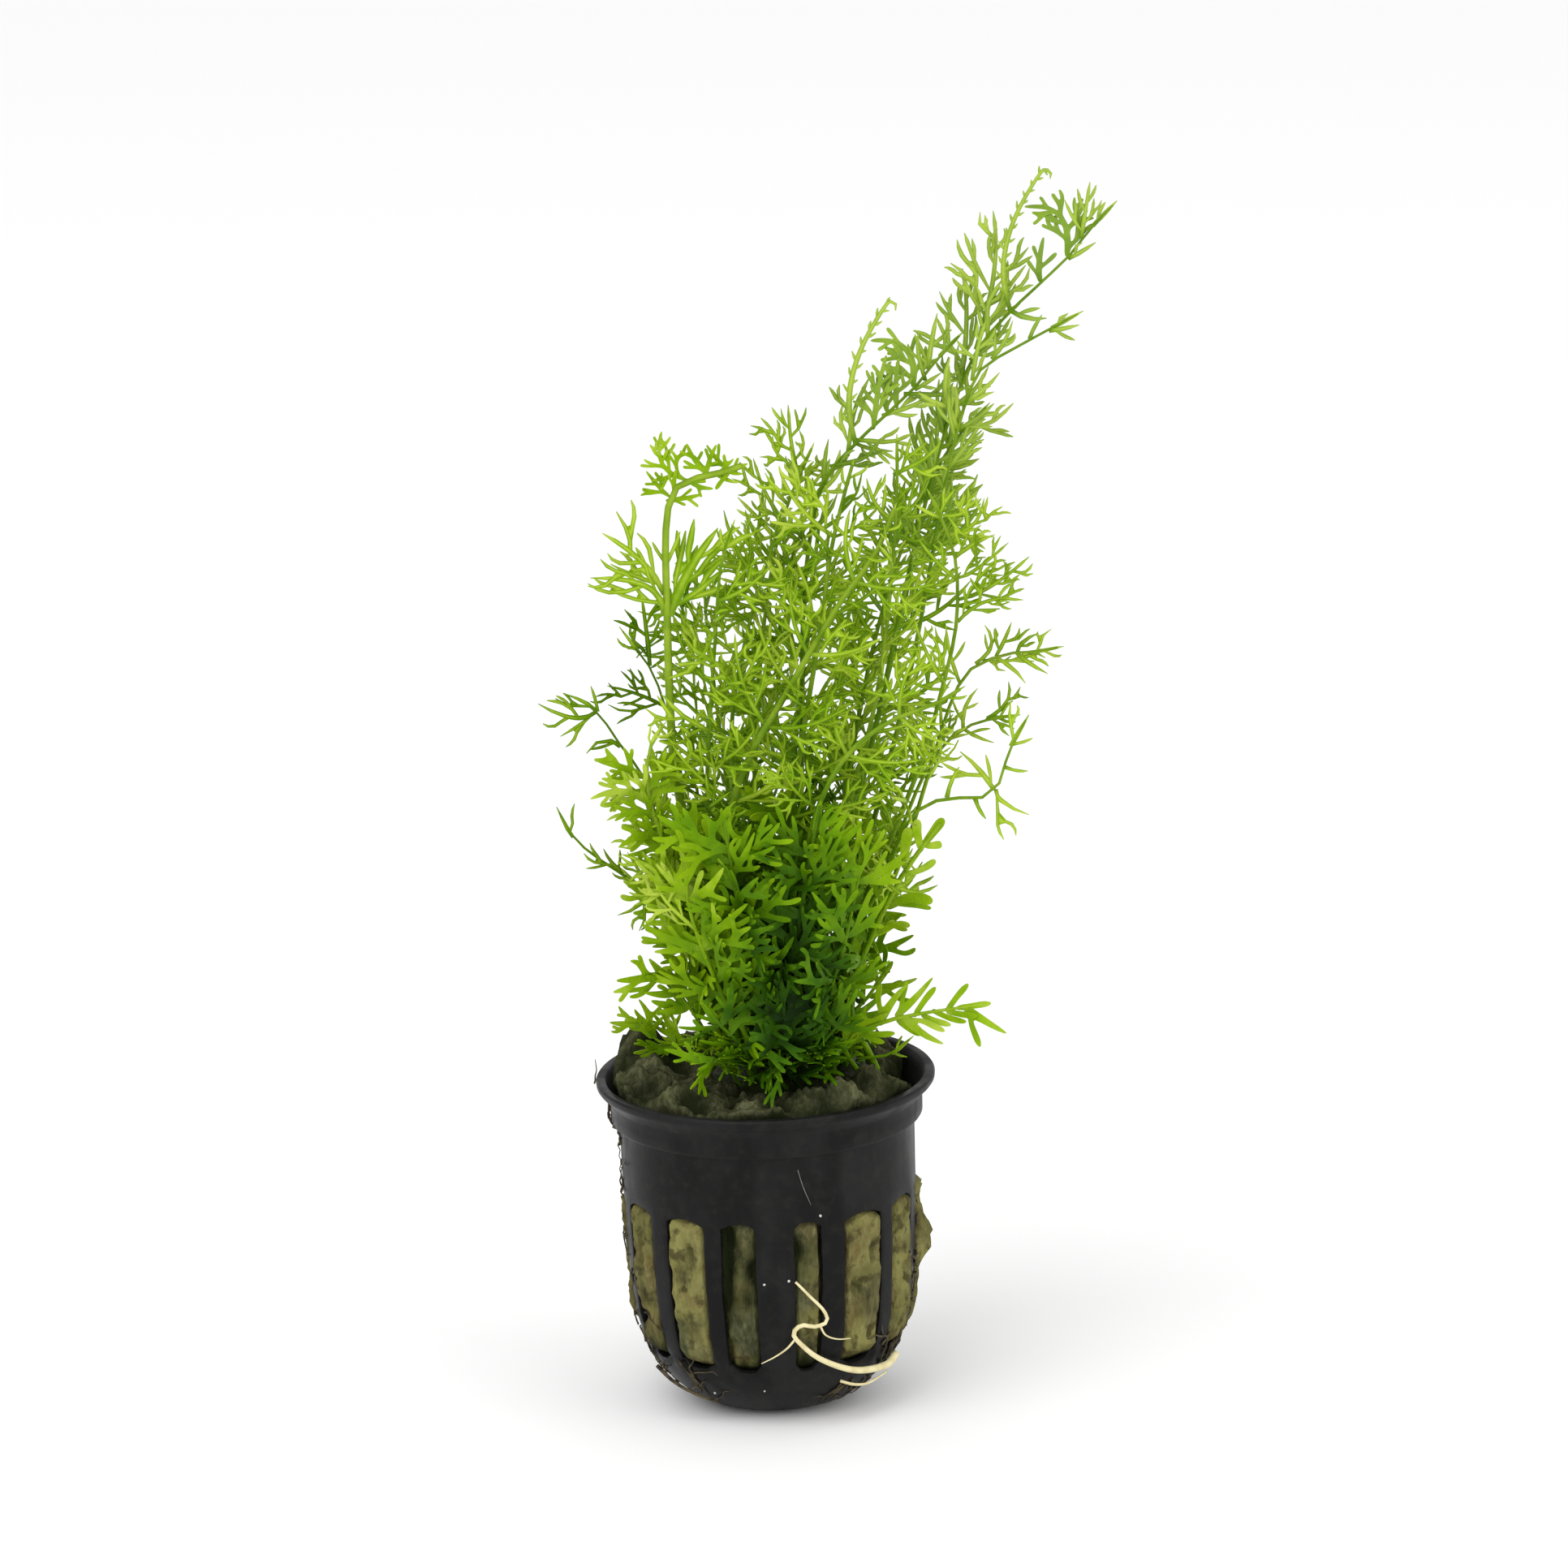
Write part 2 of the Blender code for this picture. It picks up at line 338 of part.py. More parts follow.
class Path:
    """A smooth line through points, read by its share of the length."""

    def __init__(self, points, steps=8):
        ring = [Vector(p) for p in points]
        ring = [ring[0] * 2 - ring[1]] + ring + [ring[-1] * 2 - ring[-2]]
        self.line = []
        for a, b, c, d in zip(ring, ring[1:], ring[2:], ring[3:]):
            for k in range(steps):
                t = k / steps
                bend = (2 * a - 5 * b + 4 * c - d) * t * t + (3 * b - a - 3 * c + d) * t ** 3
                self.line.append(0.5 * (2 * b + (c - a) * t + bend))
        self.line.append(ring[-2])
        self.run = [0.0]
        for a, b in zip(self.line, self.line[1:]):
            self.run.append(self.run[-1] + (b - a).length)
        self.length = self.run[-1]

    def at(self, t):
        want = min(max(t, 0.0), 1.0) * self.length
        i = min(max(bisect.bisect_right(self.run, want) - 1, 0), len(self.run) - 2)
        gap = self.run[i + 1] - self.run[i]
        return self.line[i].lerp(self.line[i + 1], (want - self.run[i]) / gap)

    def way(self, t):
        return (self.at(t + 0.02) - self.at(t - 0.02)).normalized()


def frame_at(path, t, face):
    """Direction along the blade, direction across it, and the blade's face."""
    along = path.way(t)
    normal = (face - along * face.dot(along)).normalized()
    return along, along.cross(normal), normal


class Room:
    """Points already used by fronds, so that no blade crosses another."""

    def __init__(self, reach):
        self.reach = reach
        self.cells = {}

    def key(self, p):
        return (int(p.x // self.reach), int(p.y // self.reach), int(p.z // self.reach))

    def add(self, points, tag):
        for p in points:
            self.cells.setdefault(self.key(p), []).append((p, tag))

    def free(self, points, tag, near, spare):
        for p in points:
            i, j, k = self.key(p)
            for a, b, c in NEIGHBOURS:
                for q, other in self.cells.get((i + a, j + b, k + c), ()):
                    if other == tag or (q - p).length > self.reach:
                        continue
                    if other[0] == tag[0] and other[1] < 0 and (p - near).length < spare:
                        continue
                    return False
        return True


def pinna_stops(line):
    return (0.0, 0.36, 0.70, 1.0) if line.length > LONG else (0.0, 0.52, 1.0)


def straightened(line):
    """The line as its few straight steps, as the solid has it."""
    knots = [line.at(t) for t in pinna_stops(line)]
    out = []
    for a, b in zip(knots, knots[1:]):
        out += [a.lerp(b, k / 4) for k in range(4)]
    return Path(out + [knots[-1]], 1)


def strip_points(path, face, w0, w1, start=0.0, step=0.75):
    n = max(2, int(path.length / step))
    out = []
    for i in range(n + 1):
        t = start + (1 - start) * i / n
        half = (w0 + (w1 - w0) * t) / 2
        across = frame_at(path, t, face)[1]
        p = path.at(t)
        out.append(p)
        if half > 0.45:
            out.append(p + across * half)
            out.append(p - across * half)
    return out


def lobe_points(a, b, tip):
    middle = (a + b) / 2
    half = (b - a) / 2
    n = max(2, int((tip - middle).length / 0.75))
    out = []
    for i in range(1, n + 1):
        u = i / n
        out.append(middle.lerp(tip, u))
        if (1 - u) * half.length > 0.4:
            out.append(middle.lerp(tip, u) + half * (1 - u) * 0.9)
            out.append(middle.lerp(tip, u) - half * (1 - u) * 0.9)
    return out


def pinna_path(foot, via, tip, along):
    if via is None:
        via = foot.lerp(tip, 0.5) + along * (tip - foot).length * -0.06
    control = via * 2 - (foot + tip) / 2
    steps = [i / 6 for i in range(7)]
    return Path([foot * (1 - t) ** 2 + control * 2 * t * (1 - t) + tip * t * t for t in steps], 2)


def spread_stalks():
    """The stalk lines, with those that pass too near each other moved apart."""
    drawn = [[Vector(p) for p in frond[4]] for frond in FRONDS]
    moved = [[p.copy() for p in line] for line in drawn]
    for turn in range(60):
        runs = []
        for line in moved:
            path = Path(line, 6)
            count = int(path.length)
            runs.append(np.array([path.at(k / count) for k in range(count + 1)]))
        clear = True
        for i, j in itertools.combinations(range(len(moved)), 2):
            one, two = runs[i], runs[j]
            beside = max((one.min(axis=0) - two.max(axis=0)).max(), (two.min(axis=0) - one.max(axis=0)).max())
            if beside > 2.6:
                continue
            apart = np.linalg.norm(one[:, None] - two[None], axis=2)
            a, b = np.unravel_index(np.argmin(apart), apart.shape)
            thick = 0.0
            for frond, share in ((FRONDS[i], a / (len(one) - 1)), (FRONDS[j], b / (len(two) - 1))):
                thick += (frond[1][0] + (frond[1][1] - frond[1][0]) * share) / 2
            short = thick + 0.8 - apart[a, b]
            if short <= 0:
                continue
            clear = False
            way = Vector(one[a]) - Vector(two[b])
            way = Vector((way.x * 0.6, way.y if abs(way.y) > 1e-3 else 1e-3, 0)).normalized()
            for which, spot, sign in ((i, Vector(one[a]), 0.5), (j, Vector(two[b]), -0.5)):
                line, first = moved[which], drawn[which]
                for k in sorted(range(len(line)), key=lambda n: (line[n] - spot).length)[:2]:
                    line[k] += way * (short * 0.5 + 0.05) * sign
                    off = line[k] - first[k]
                    if off.length > 3.5:
                        line[k] = first[k] + off * (3.5 / off.length)
                    if k == 0:
                        line[k].z = crown_height(line[k].x, line[k].y) + 0.6
        if clear:
            break
    return moved


def plan_fronds():
    """The growth plan: each frond's stalk line, its pinnae and their lobes."""
    room = Room(REACH)
    plans = []
    stalks = spread_stalks()
    for number, (name, widths, face, lobe, stalk, pinnae, fill) in enumerate(FRONDS):
        path = Path(stalks[number])
        face = Vector(face).normalized()
        room.add(strip_points(path, face, widths[0], widths[1], 4.0 / path.length), (number, -1))
        plans.append([name, widths, face, lobe, path, []])
    for number, (name, widths, face, lobe, stalk, pinnae, fill) in enumerate(FRONDS):
        path, face = plans[number][4], plans[number][2]
        chance = random.Random(number + 11)
        wanted = []
        for t, tip, via in pinnae:
            wanted.append((t, Vector(tip), Vector(via) if via else None, True))
        if fill:
            first, last, pairs, length, angle = fill
            for i in range(pairs):
                t = first + (last - first) * (i + 0.5) / pairs
                along, across, normal = frame_at(path, t, face)
                for side in (1, -1):
                    tilt = math.radians(angle + chance.uniform(-8, 8))
                    size = length * (0.62 + 0.38 * math.sin(math.pi * (0.25 + 0.6 * (i + 0.5) / pairs)))
                    size *= chance.uniform(0.85, 1.1)
                    lean = normal * chance.uniform(-0.25, 0.35)
                    way = (along * math.cos(tilt) + across * side * math.sin(tilt) + lean).normalized()
                    start = path.at(t)
                    early = (way + across * side * 0.35).normalized()
                    wanted.append((t, start + way * size, start + early * size * 0.5, False))
        wanted.sort(key=lambda item: item[0])
        joints = []
        half = FOOT / path.length
        latest = {1: -1.0, -1: -1.0}
        for t, tip, via, firm in wanted:
            along, across, normal = frame_at(path, t, face)
            side = 1 if (tip - path.at(t)).dot(across) > 0 else -1
            t = max(t, latest[side] + 3.4 / path.length)
            latest[side] = t
            if joints and side not in joints[-1][1] and (t - joints[-1][0]) < 2.6 / path.length:
                joints[-1][1][side] = (tip, via, firm)
                continue
            if joints:
                t = max(t, joints[-1][0] + half * 2.3)
            if t < 1 - half * 2.2:
                joints.append((t, {side: (tip, via, firm)}))
        kept = []
        for order, (t, sides) in enumerate(joints):
            along, across, normal = frame_at(path, t, face)
            width = widths[0] + (widths[1] - widths[0]) * t
            for side in sorted(sides):
                tip, via, firm = sides[side]
                foot = path.at(t) + across * side * width / 2
                tag = (number, order * 2 + (side > 0))
                for trial in range(5):
                    shrink = 1.0 - 0.14 * (trial // 2) * (0 if firm else 1)
                    lift = normal * (0.0, 1.3, -1.3, 2.6, -2.6)[trial]
                    goal = foot + (tip - foot) * shrink + lift
                    bend = foot + (via - foot) * shrink + lift * 0.5 if via else None
                    line = pinna_path(foot, bend, goal, along)
                    points = strip_points(straightened(line), normal, 1.3 * lobe, 0.6, 1.4 / line.length)
                    if room.free(points, tag, foot, 3.2):
                        break
                else:
                    continue
                room.add(points, tag)
                kept.append([t, side, line, tag, normal, line.length > LONG, []])
        for t, side, line, tag, normal, long, lobes in kept:
            if long:
                spans = ((0.06, 0.36, 0.42), (0.36, 0.70, 0.36))
            else:
                spans = ((0.08, 0.52, 0.42),)
            for step, (a, b, reach) in enumerate(spans):
                for hand in (1, -1):
                    along, across, up = frame_at(line, (a + b) / 2, normal)
                    tilt = math.radians(chance.uniform(34, 46))
                    size = max(2.6, min(9.0, line.length * reach * chance.uniform(0.85, 1.15)))
                    root = line.at((a + b) / 2) + across * hand * 0.5
                    for cut in (1.0, 0.7):
                        way = along * math.cos(tilt) + across * hand * math.sin(tilt)
                        tip = root + way * size * cut + up * chance.uniform(-0.5, 0.5)
                        low = line.at(a) + across * hand * 0.5
                        points = lobe_points(low, line.at(b) + across * hand * 0.5, tip)
                        if room.free(points, tag, line.at(0), 2.0):
                            room.add(points, tag)
                            lobes.append((step, hand, tip))
                            break
        plans[number][5] = kept
    return plans


def build_roots(collection):
    """Each root is one tube with its branches drawn out of its sides."""
    colour = {"root_front": (0.78, 0.68, 0.38)}
    for name, widths, stalk, steps, branches in ROOTS:
        path = Path(stalk)
        bm = bmesh.new()
        bmesh.ops.create_cube(bm, size=1.0)
        level = (Vector((1, 0, 0)), Vector((0, 1, 0)))
        ends = {}
        for face in bm.faces:
            if abs(face.normal.z) > 0.5:
                ends[face.normal.z > 0] = face
        stops = [k / steps for k in range(steps)] + [0.985]
        for up, t in ((False, 0.0), (True, stops[1])):
            along, across, normal = frame_at(path, t, ROOT_FACE)
            signs = corners(ends[up], Vector(), *level)
            for vert, (a, b) in zip(ends[up].verts, signs):
                vert.co = path.at(t) + (across * a + normal * b) * (widths[0] / 2)
        face, centre, old = ends[True], path.at(stops[1]), (across, normal)
        for t in stops[2:]:
            along, across, normal = frame_at(path, t, ROOT_FACE)
            if across.dot(old[0]) < 0:
                across, normal = -across, -normal
            width = widths[0] + (widths[1] - widths[0]) * t
            here = path.at(t)
            face = advance(bm, face, centre, old, here, (across, normal), width, width)
            for thin, points in branches:
                if t == min(stops[2:], key=lambda u: (path.at(u) - Vector(points[0])).length):
                    twig = Path(points)
                    way = (twig.at(1.0) - here).normalized()
                    flank = side_face(face, (centre + here) / 2, way)
                    spot, base = flank.calc_center_median(), (along, normal)
                    twig = Path([spot] + list(points[1:]))
                    for k in range(1, 4):
                        ahead, beside, up = frame_at(twig, k / 4, ROOT_FACE)
                        if beside.dot(base[0]) < 0:
                            beside = -beside
                        flank = advance(bm, flank, spot, base, twig.at(k / 4), (beside, up), thin, thin)
                        spot, base = twig.at(k / 4), (beside, up)
                    draw_out(bm, flank, twig.at(1.0))
            centre, old = here, (across, normal)
        draw_out(bm, face, path.at(1.0))
        made = material(name, colour.get(name, (0.10, 0.075, 0.03)), 0.6)
        finish(bm, name, made, collection)


def corners(face, origin, across, normal):
    """Which corner of the section each vertex of a face is."""
    out = []
    for vert in face.verts:
        d = vert.co - origin
        out.append((1 if d.dot(across) > 0 else -1, 1 if d.dot(normal) > 0 else -1))
    return out


def advance(bm, face, origin, old, centre, new, width, thick):
    """Extrude a face to the next section of a stalk or pinna."""
    signs = corners(face, origin, *old)
    face = bmesh.ops.extrude_discrete_faces(bm, faces=[face])["faces"][0]
    for vert, (a, b) in zip(face.verts, signs):
        vert.co = centre + new[0] * (a * width / 2) + new[1] * (b * thick / 2)
    return face


def side_face(face, centre, way):
    """The face beside the last section on the side that way points to."""
    beside = set()
    for edge in face.edges:
        beside.update(f for f in edge.link_faces if f is not face)
    return max(beside, key=lambda f: (f.calc_center_median() - centre).dot(way))


def draw_out(bm, face, tip):
    """Pull a face out to a point."""
    made = bmesh.ops.poke(bm, faces=[face])
    made["verts"][0].co = tip


def grow_pinna(bm, face, foot, old, line, normal, lobe, lobes):
    """A pinna from one side face of the stalk, with its lobes."""
    for step, t in enumerate(pinna_stops(line)[1:-1]):
        along, across, up = frame_at(line, t, normal)
        if step == 0 and across.dot(old[0]) < 0:
            across = -across
        elif step and across.dot(before) < 0:
            across = -across
        before = across
        width = (1.35 - 0.75 * t) * lobe
        centre = line.at(t)
        face = advance(bm, face, foot, old, centre, (across, up), width, THICK)
        middle = (foot + centre) / 2
        true_across = frame_at(line, t, normal)[1]
        for hand in (1, -1):
            for part, side, tip in lobes:
                if part == step and side == hand:
                    draw_out(bm, side_face(face, middle, true_across * hand), tip)
        foot, old = centre, (across, up)
    draw_out(bm, face, line.at(1.0))


def frond_mesh(plan):
    name, widths, facing, lobe, path, pinnae = plan
    bm = bmesh.new()
    bmesh.ops.create_cube(bm, size=1.0)
    level = (Vector((1, 0, 0)), Vector((0, 1, 0)))
    base = path.at(0)
    first = 2.0 / path.length
    along, across, normal = frame_at(path, first, facing)
    flat = Vector((across.x, across.y, 0))
    flat = flat.normalized() if flat.length > 0.3 else Vector((1, 0, 0))
    depth = flat.cross(Vector((0, 0, 1)))
    bottom = [f for f in bm.faces if f.calc_center_median().z < -0.4][0]
    top = [f for f in bm.faces if f.calc_center_median().z > 0.4][0]
    for face, centre, new in ((bottom, base, (flat, depth)), (top, path.at(first), (across, normal))):
        signs = corners(face, Vector(), *level)
        for vert, (a, b) in zip(face.verts, signs):
            vert.co = centre + new[0] * (a * widths[0] / 2) + new[1] * (b * widths[0] * 0.42)
    face, centre, old = top, path.at(first), (across, normal)
    stops = {}
    half = FOOT / path.length
    for pinna in pinnae:
        stops.setdefault(pinna[0], []).append(pinna)
    line = [(t - half, None) for t in stops] + [(t + half, stops[t]) for t in stops]
    line.sort(key=lambda item: item[0])
    last = first
    full = []
    for t, carried in line + [(1 - 3.2 / path.length, None)]:
        if carried is None:
            gap = (t - last) * path.length
            turn = path.way(t).angle(path.way(last))
            extra = max(int(gap / 22.0), int(turn / 0.45))
            for k in range(extra):
                full.append((last + (t - last) * (k + 1) / (extra + 1), None))
        if (t - last) * path.length > (0.9 if carried is None else 0.25):
            full.append((t, carried))
            last = t
    for t, carried in full:
        along, across, normal = frame_at(path, t, facing)
        width = widths[0] + (widths[1] - widths[0]) * t
        here = path.at(t)
        thick = max(width * 0.84, THICK)
        face = advance(bm, face, centre, old, here, (across, normal), width, thick)
        if carried:
            middle = (centre + here) / 2
            for t0, side, pinna_line, tag, up, long, lobes in carried:
                flank = side_face(face, middle, across * side)
                foot = flank.calc_center_median()
                grow_pinna(bm, flank, foot, (along, up), pinna_line, up, lobe, lobes)
        centre, old = here, (across, normal)
    draw_out(bm, face, path.at(1.0))
    return bm


def wool_height(x, y):
    """Height of the wool's top, in millimetres, with its lumps and hollows."""
    away = math.hypot(x - CROWN[0], (y - CROWN[1]) / 0.9)
    seat = min(1.0, max(0.0, (away - 13.6) / 4.0))
    height = WOOL_TOP
    for px, py, spread, rise in WOOL_LUMPS:
        height += seat * rise * math.exp(-((x - px) ** 2 + (y - py) ** 2) / spread ** 2)
    return height


def finish(bm, name, material, collection):
    """Scale to metres, face outwards and put the mesh in the scene."""
    bmesh.ops.recalc_face_normals(bm, faces=bm.faces)
    bmesh.ops.scale(bm, verts=bm.verts, vec=(MM, MM, MM))
    mesh = bpy.data.meshes.new(name)
    bm.to_mesh(mesh)
    bm.free()
    mesh.shade_smooth()
    mesh.set_sharp_from_angle(angle=SHARP)
    mesh.materials.append(material)
    obj = bpy.data.objects.new(name, mesh)
    collection.objects.link(obj)
    return obj


def material(name, colour, roughness):
    made = bpy.data.materials.new(name)
    made.use_nodes = True
    shader = made.node_tree.nodes["Principled BSDF"]
    shader.inputs["Base Color"].default_value = (*colour, 1.0)
    shader.inputs["Roughness"].default_value = roughness
    shader.inputs["Metallic"].default_value = 0.0
    return made


def lathe(bm, profile, segments):
    """Turn a profile, given as (radius, height), about the Z axis."""
    verts = [bm.verts.new((r, 0.0, z)) for r, z in profile]
    edges = [bm.edges.new(pair) for pair in zip(verts, verts[1:])]
    bmesh.ops.spin(bm, geom=verts + edges, cent=(0, 0, 0), axis=(0, 0, 1), angle=math.tau,
                   steps=segments, use_merge=True)
    bmesh.ops.remove_doubles(bm, verts=bm.verts, dist=1e-4)
    turned = TURN - math.pi / 2 - math.pi / segments
    for vert in bm.verts:
        x, y = vert.co.x, vert.co.y
        vert.co.x = x * math.cos(turned) - y * math.sin(turned)
        vert.co.y = x * math.sin(turned) + y * math.cos(turned)
    bmesh.ops.recalc_face_normals(bm, faces=bm.faces)


def in_slot(face, low, high):
    """Whether a side face of the lathed wall belongs to a slot."""
    middle = face.calc_center_median()
    if not low < middle.z < high:
        return False
    angle = math.atan2(middle.y, middle.x) + math.pi / 2 - TURN
    return abs((angle * SLOTS / math.tau + 0.5) % 1.0 - 0.5) < 0.2


def build_pot(collection):
    bm = bmesh.new()
    lathe(bm, POT_OUTER + POT_INNER, SLOTS * 2)
    holes = [f for f in bm.faces if in_slot(f, SLOT_LOW, SLOT_HIGH)]
    rims = [e for e in bm.edges if len([f for f in e.link_faces if f in holes]) == 1]
    bmesh.ops.delete(bm, geom=holes, context="FACES")
    groups = {}
    for edge in rims:
        middle = (edge.verts[0].co + edge.verts[1].co) / 2
        angle = math.atan2(middle.y, middle.x) + math.pi / 2 - TURN
        groups.setdefault(round(angle * SLOTS / math.tau) % SLOTS, []).append(edge)
    for edges in groups.values():
        bmesh.ops.bridge_loops(bm, edges=edges)
    return finish(bm, "net_pot", material("black_plastic", (0.022, 0.023, 0.024), 0.42), collection)


def build_wool(collection):
    bm = bmesh.new()
    top = tuple((r, WOOL_TOP) for r in WOOL_RINGS) + ((0.0, WOOL_TOP),)
    lathe(bm, ((0.0, 1.6),) + WOOL_SIDE + top, SLOTS * 2)
    for vert in bm.verts:
        radius = math.hypot(vert.co.x, vert.co.y)
        if vert.co.z > WOOL_TOP - 0.1:
            vert.co.z = wool_height(vert.co.x, vert.co.y)
        elif vert.co.z > 50.0:
            sink = (wool_height(vert.co.x, vert.co.y) - WOOL_TOP) * 0.35
            vert.co.z += sink
            if sink < 0:
                vert.co.x *= 1 + sink * 0.02
                vert.co.y *= 1 + sink * 0.02
    for number in range(SLOTS):
        middle = TURN - math.pi / 2 + number * math.tau / SLOTS
        way = Vector((math.cos(middle), math.sin(middle), 0))
        group = []
        for face in bm.faces:
            if in_slot(face, SLOT_LOW, SLOT_HIGH):
                centre = face.calc_center_median()
                if Vector((centre.x, centre.y, 0)).normalized().dot(way) > 0.99:
                    group.append(face)
        bmesh.ops.inset_region(bm, faces=group, thickness=GAP + 0.05, use_even_offset=True)
        moved = bmesh.ops.extrude_face_region(bm, geom=group)
        bmesh.ops.delete(bm, geom=group, context="FACES")
        for item in moved["geom"]:
            if isinstance(item, bmesh.types.BMVert):
                item.co += way * BULGE_OUT
    return finish(bm, "rock_wool", material("rock_wool", (0.20, 0.18, 0.055), 0.95), collection)


def build_crown(collection):
    bm = bmesh.new()
    bmesh.ops.create_uvsphere(bm, u_segments=12, v_segments=6, radius=1.0)
    bmesh.ops.bisect_plane(bm, geom=bm.verts[:] + bm.edges[:] + bm.faces[:], plane_co=(0, 0, -0.05),
                           plane_no=(0, 0, -1), clear_outer=True)
    bmesh.ops.holes_fill(bm, edges=[e for e in bm.edges if e.is_boundary], sides=0)
    for vert in bm.verts:
        x, y = CROWN[0] + vert.co.x * CROWN_WIDE, CROWN[1] + vert.co.y * CROWN_WIDE * 0.9
        vert.co = Vector((x, y, crown_height(x, y) if vert.co.z > -0.01 else CROWN[2]))
    return finish(bm, "crown", material("rootstock", (0.05, 0.075, 0.015), 0.7), collection)


def main():
    for obj in list(bpy.data.objects):
        bpy.data.objects.remove(obj, do_unlink=True)
    collection = bpy.data.collections.new("potted_water_sprite")
    bpy.context.scene.collection.children.link(collection)
    build_pot(collection)
    build_wool(collection)
    build_crown(collection)
    build_roots(collection)
    for plan in plan_fronds():
        green = material(plan[0], (0.20, 0.42, 0.02), 0.45)
        finish(frond_mesh(plan), "frond_" + plan[0], green, collection)


main()
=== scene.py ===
"""Potted water sprite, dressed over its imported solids: fine fronds, rock wool, slotted net pot and roots.

The plan is in millimetres, as the solids' own plan is, and meshes are scaled to metres at the end.
The photographed front faces -Y.
"""

import bisect
import itertools
import json
import math
import random
import typing

import bmesh
import bpy
import numpy as np
from mathutils import Matrix, Vector, noise

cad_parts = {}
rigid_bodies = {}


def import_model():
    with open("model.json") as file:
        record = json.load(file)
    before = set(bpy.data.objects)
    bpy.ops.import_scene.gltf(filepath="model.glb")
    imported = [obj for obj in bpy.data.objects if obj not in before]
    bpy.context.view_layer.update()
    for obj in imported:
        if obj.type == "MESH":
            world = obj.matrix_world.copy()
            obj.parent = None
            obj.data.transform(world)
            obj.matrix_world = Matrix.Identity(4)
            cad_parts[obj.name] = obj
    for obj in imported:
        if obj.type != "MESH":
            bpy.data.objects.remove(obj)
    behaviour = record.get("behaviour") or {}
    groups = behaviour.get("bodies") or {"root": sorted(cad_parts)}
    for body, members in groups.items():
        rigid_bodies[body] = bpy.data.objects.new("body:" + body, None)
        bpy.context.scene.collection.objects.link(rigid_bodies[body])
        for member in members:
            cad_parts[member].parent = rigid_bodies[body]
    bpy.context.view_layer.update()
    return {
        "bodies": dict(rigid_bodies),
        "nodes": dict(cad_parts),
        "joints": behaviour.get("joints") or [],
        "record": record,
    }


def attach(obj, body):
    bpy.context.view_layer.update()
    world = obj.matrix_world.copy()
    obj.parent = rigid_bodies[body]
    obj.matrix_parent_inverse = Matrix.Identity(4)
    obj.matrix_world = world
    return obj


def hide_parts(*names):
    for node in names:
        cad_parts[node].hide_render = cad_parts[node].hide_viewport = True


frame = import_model()

MM = 0.001
UP = Vector((0.0, 0.0, 1.0))

# net pot
SLOTS = 14
TURN = math.radians(-11.5)         # angle of one slot from the front
SLOT_LOW, SLOT_HIGH = 9.6, 35.3    # heights between which the slots are cut

# rootstock
CROWN = (4.0, 0.0, 53.2)           # middle of its underside
CROWN_WIDE = 13.4
CROWN_DEEP = 0.9                   # its depth, as a share of its width
CROWN_TOP = 57.3
CROWN_FALL = 0.0208                # how fast the dome falls away from its middle

# growth plan of the fronds
REACH = 1.25                       # least distance between points of two blades
NEIGHBOURS = tuple(itertools.product((-1, 0, 1), repeat=3))
POINT_STEP = 0.75                  # between two points along a blade
STALK_TURNS = 60                   # rounds in which stalks are moved apart
STALK_GAP, STALK_BESIDE = 0.8, 2.6  # least gap of two stalks, and where it needs no measuring
STALK_SHIFT = 3.5                  # how far a stalk may move from its drawn line
STALK_FOOT = 4.0                   # length of stalk that passes into the rootstock
FOOT = 0.9                         # half the length of stalk that carries a pinna
SAME_SIDE, FACING = 3.4, 2.6       # between two pinnae of one side, and between those of a pair
LIFTS = (0.0, 1.3, -1.3, 2.6, -2.6)  # how far a pinna leaves its plane to find room
LONG = 16.0                        # a pinna longer than this has a second pair of lobes
# shares of a pinna where it bends, and for each pair of lobes its first and last share and its length
LONG_STOPS, LONG_LOBES = (0.0, 0.36, 0.70, 1.0), ((0.06, 0.36, 0.42), (0.36, 0.70, 0.36))
SHORT_STOPS, SHORT_LOBES = (0.0, 0.52, 1.0), ((0.08, 0.52, 0.42),)
LOBE_TILT, LOBE_SIZE = (34, 46), (2.6, 9.0)
RIBBON = 0.5                       # half the width of a pinna's ribbon, where lobes leave it

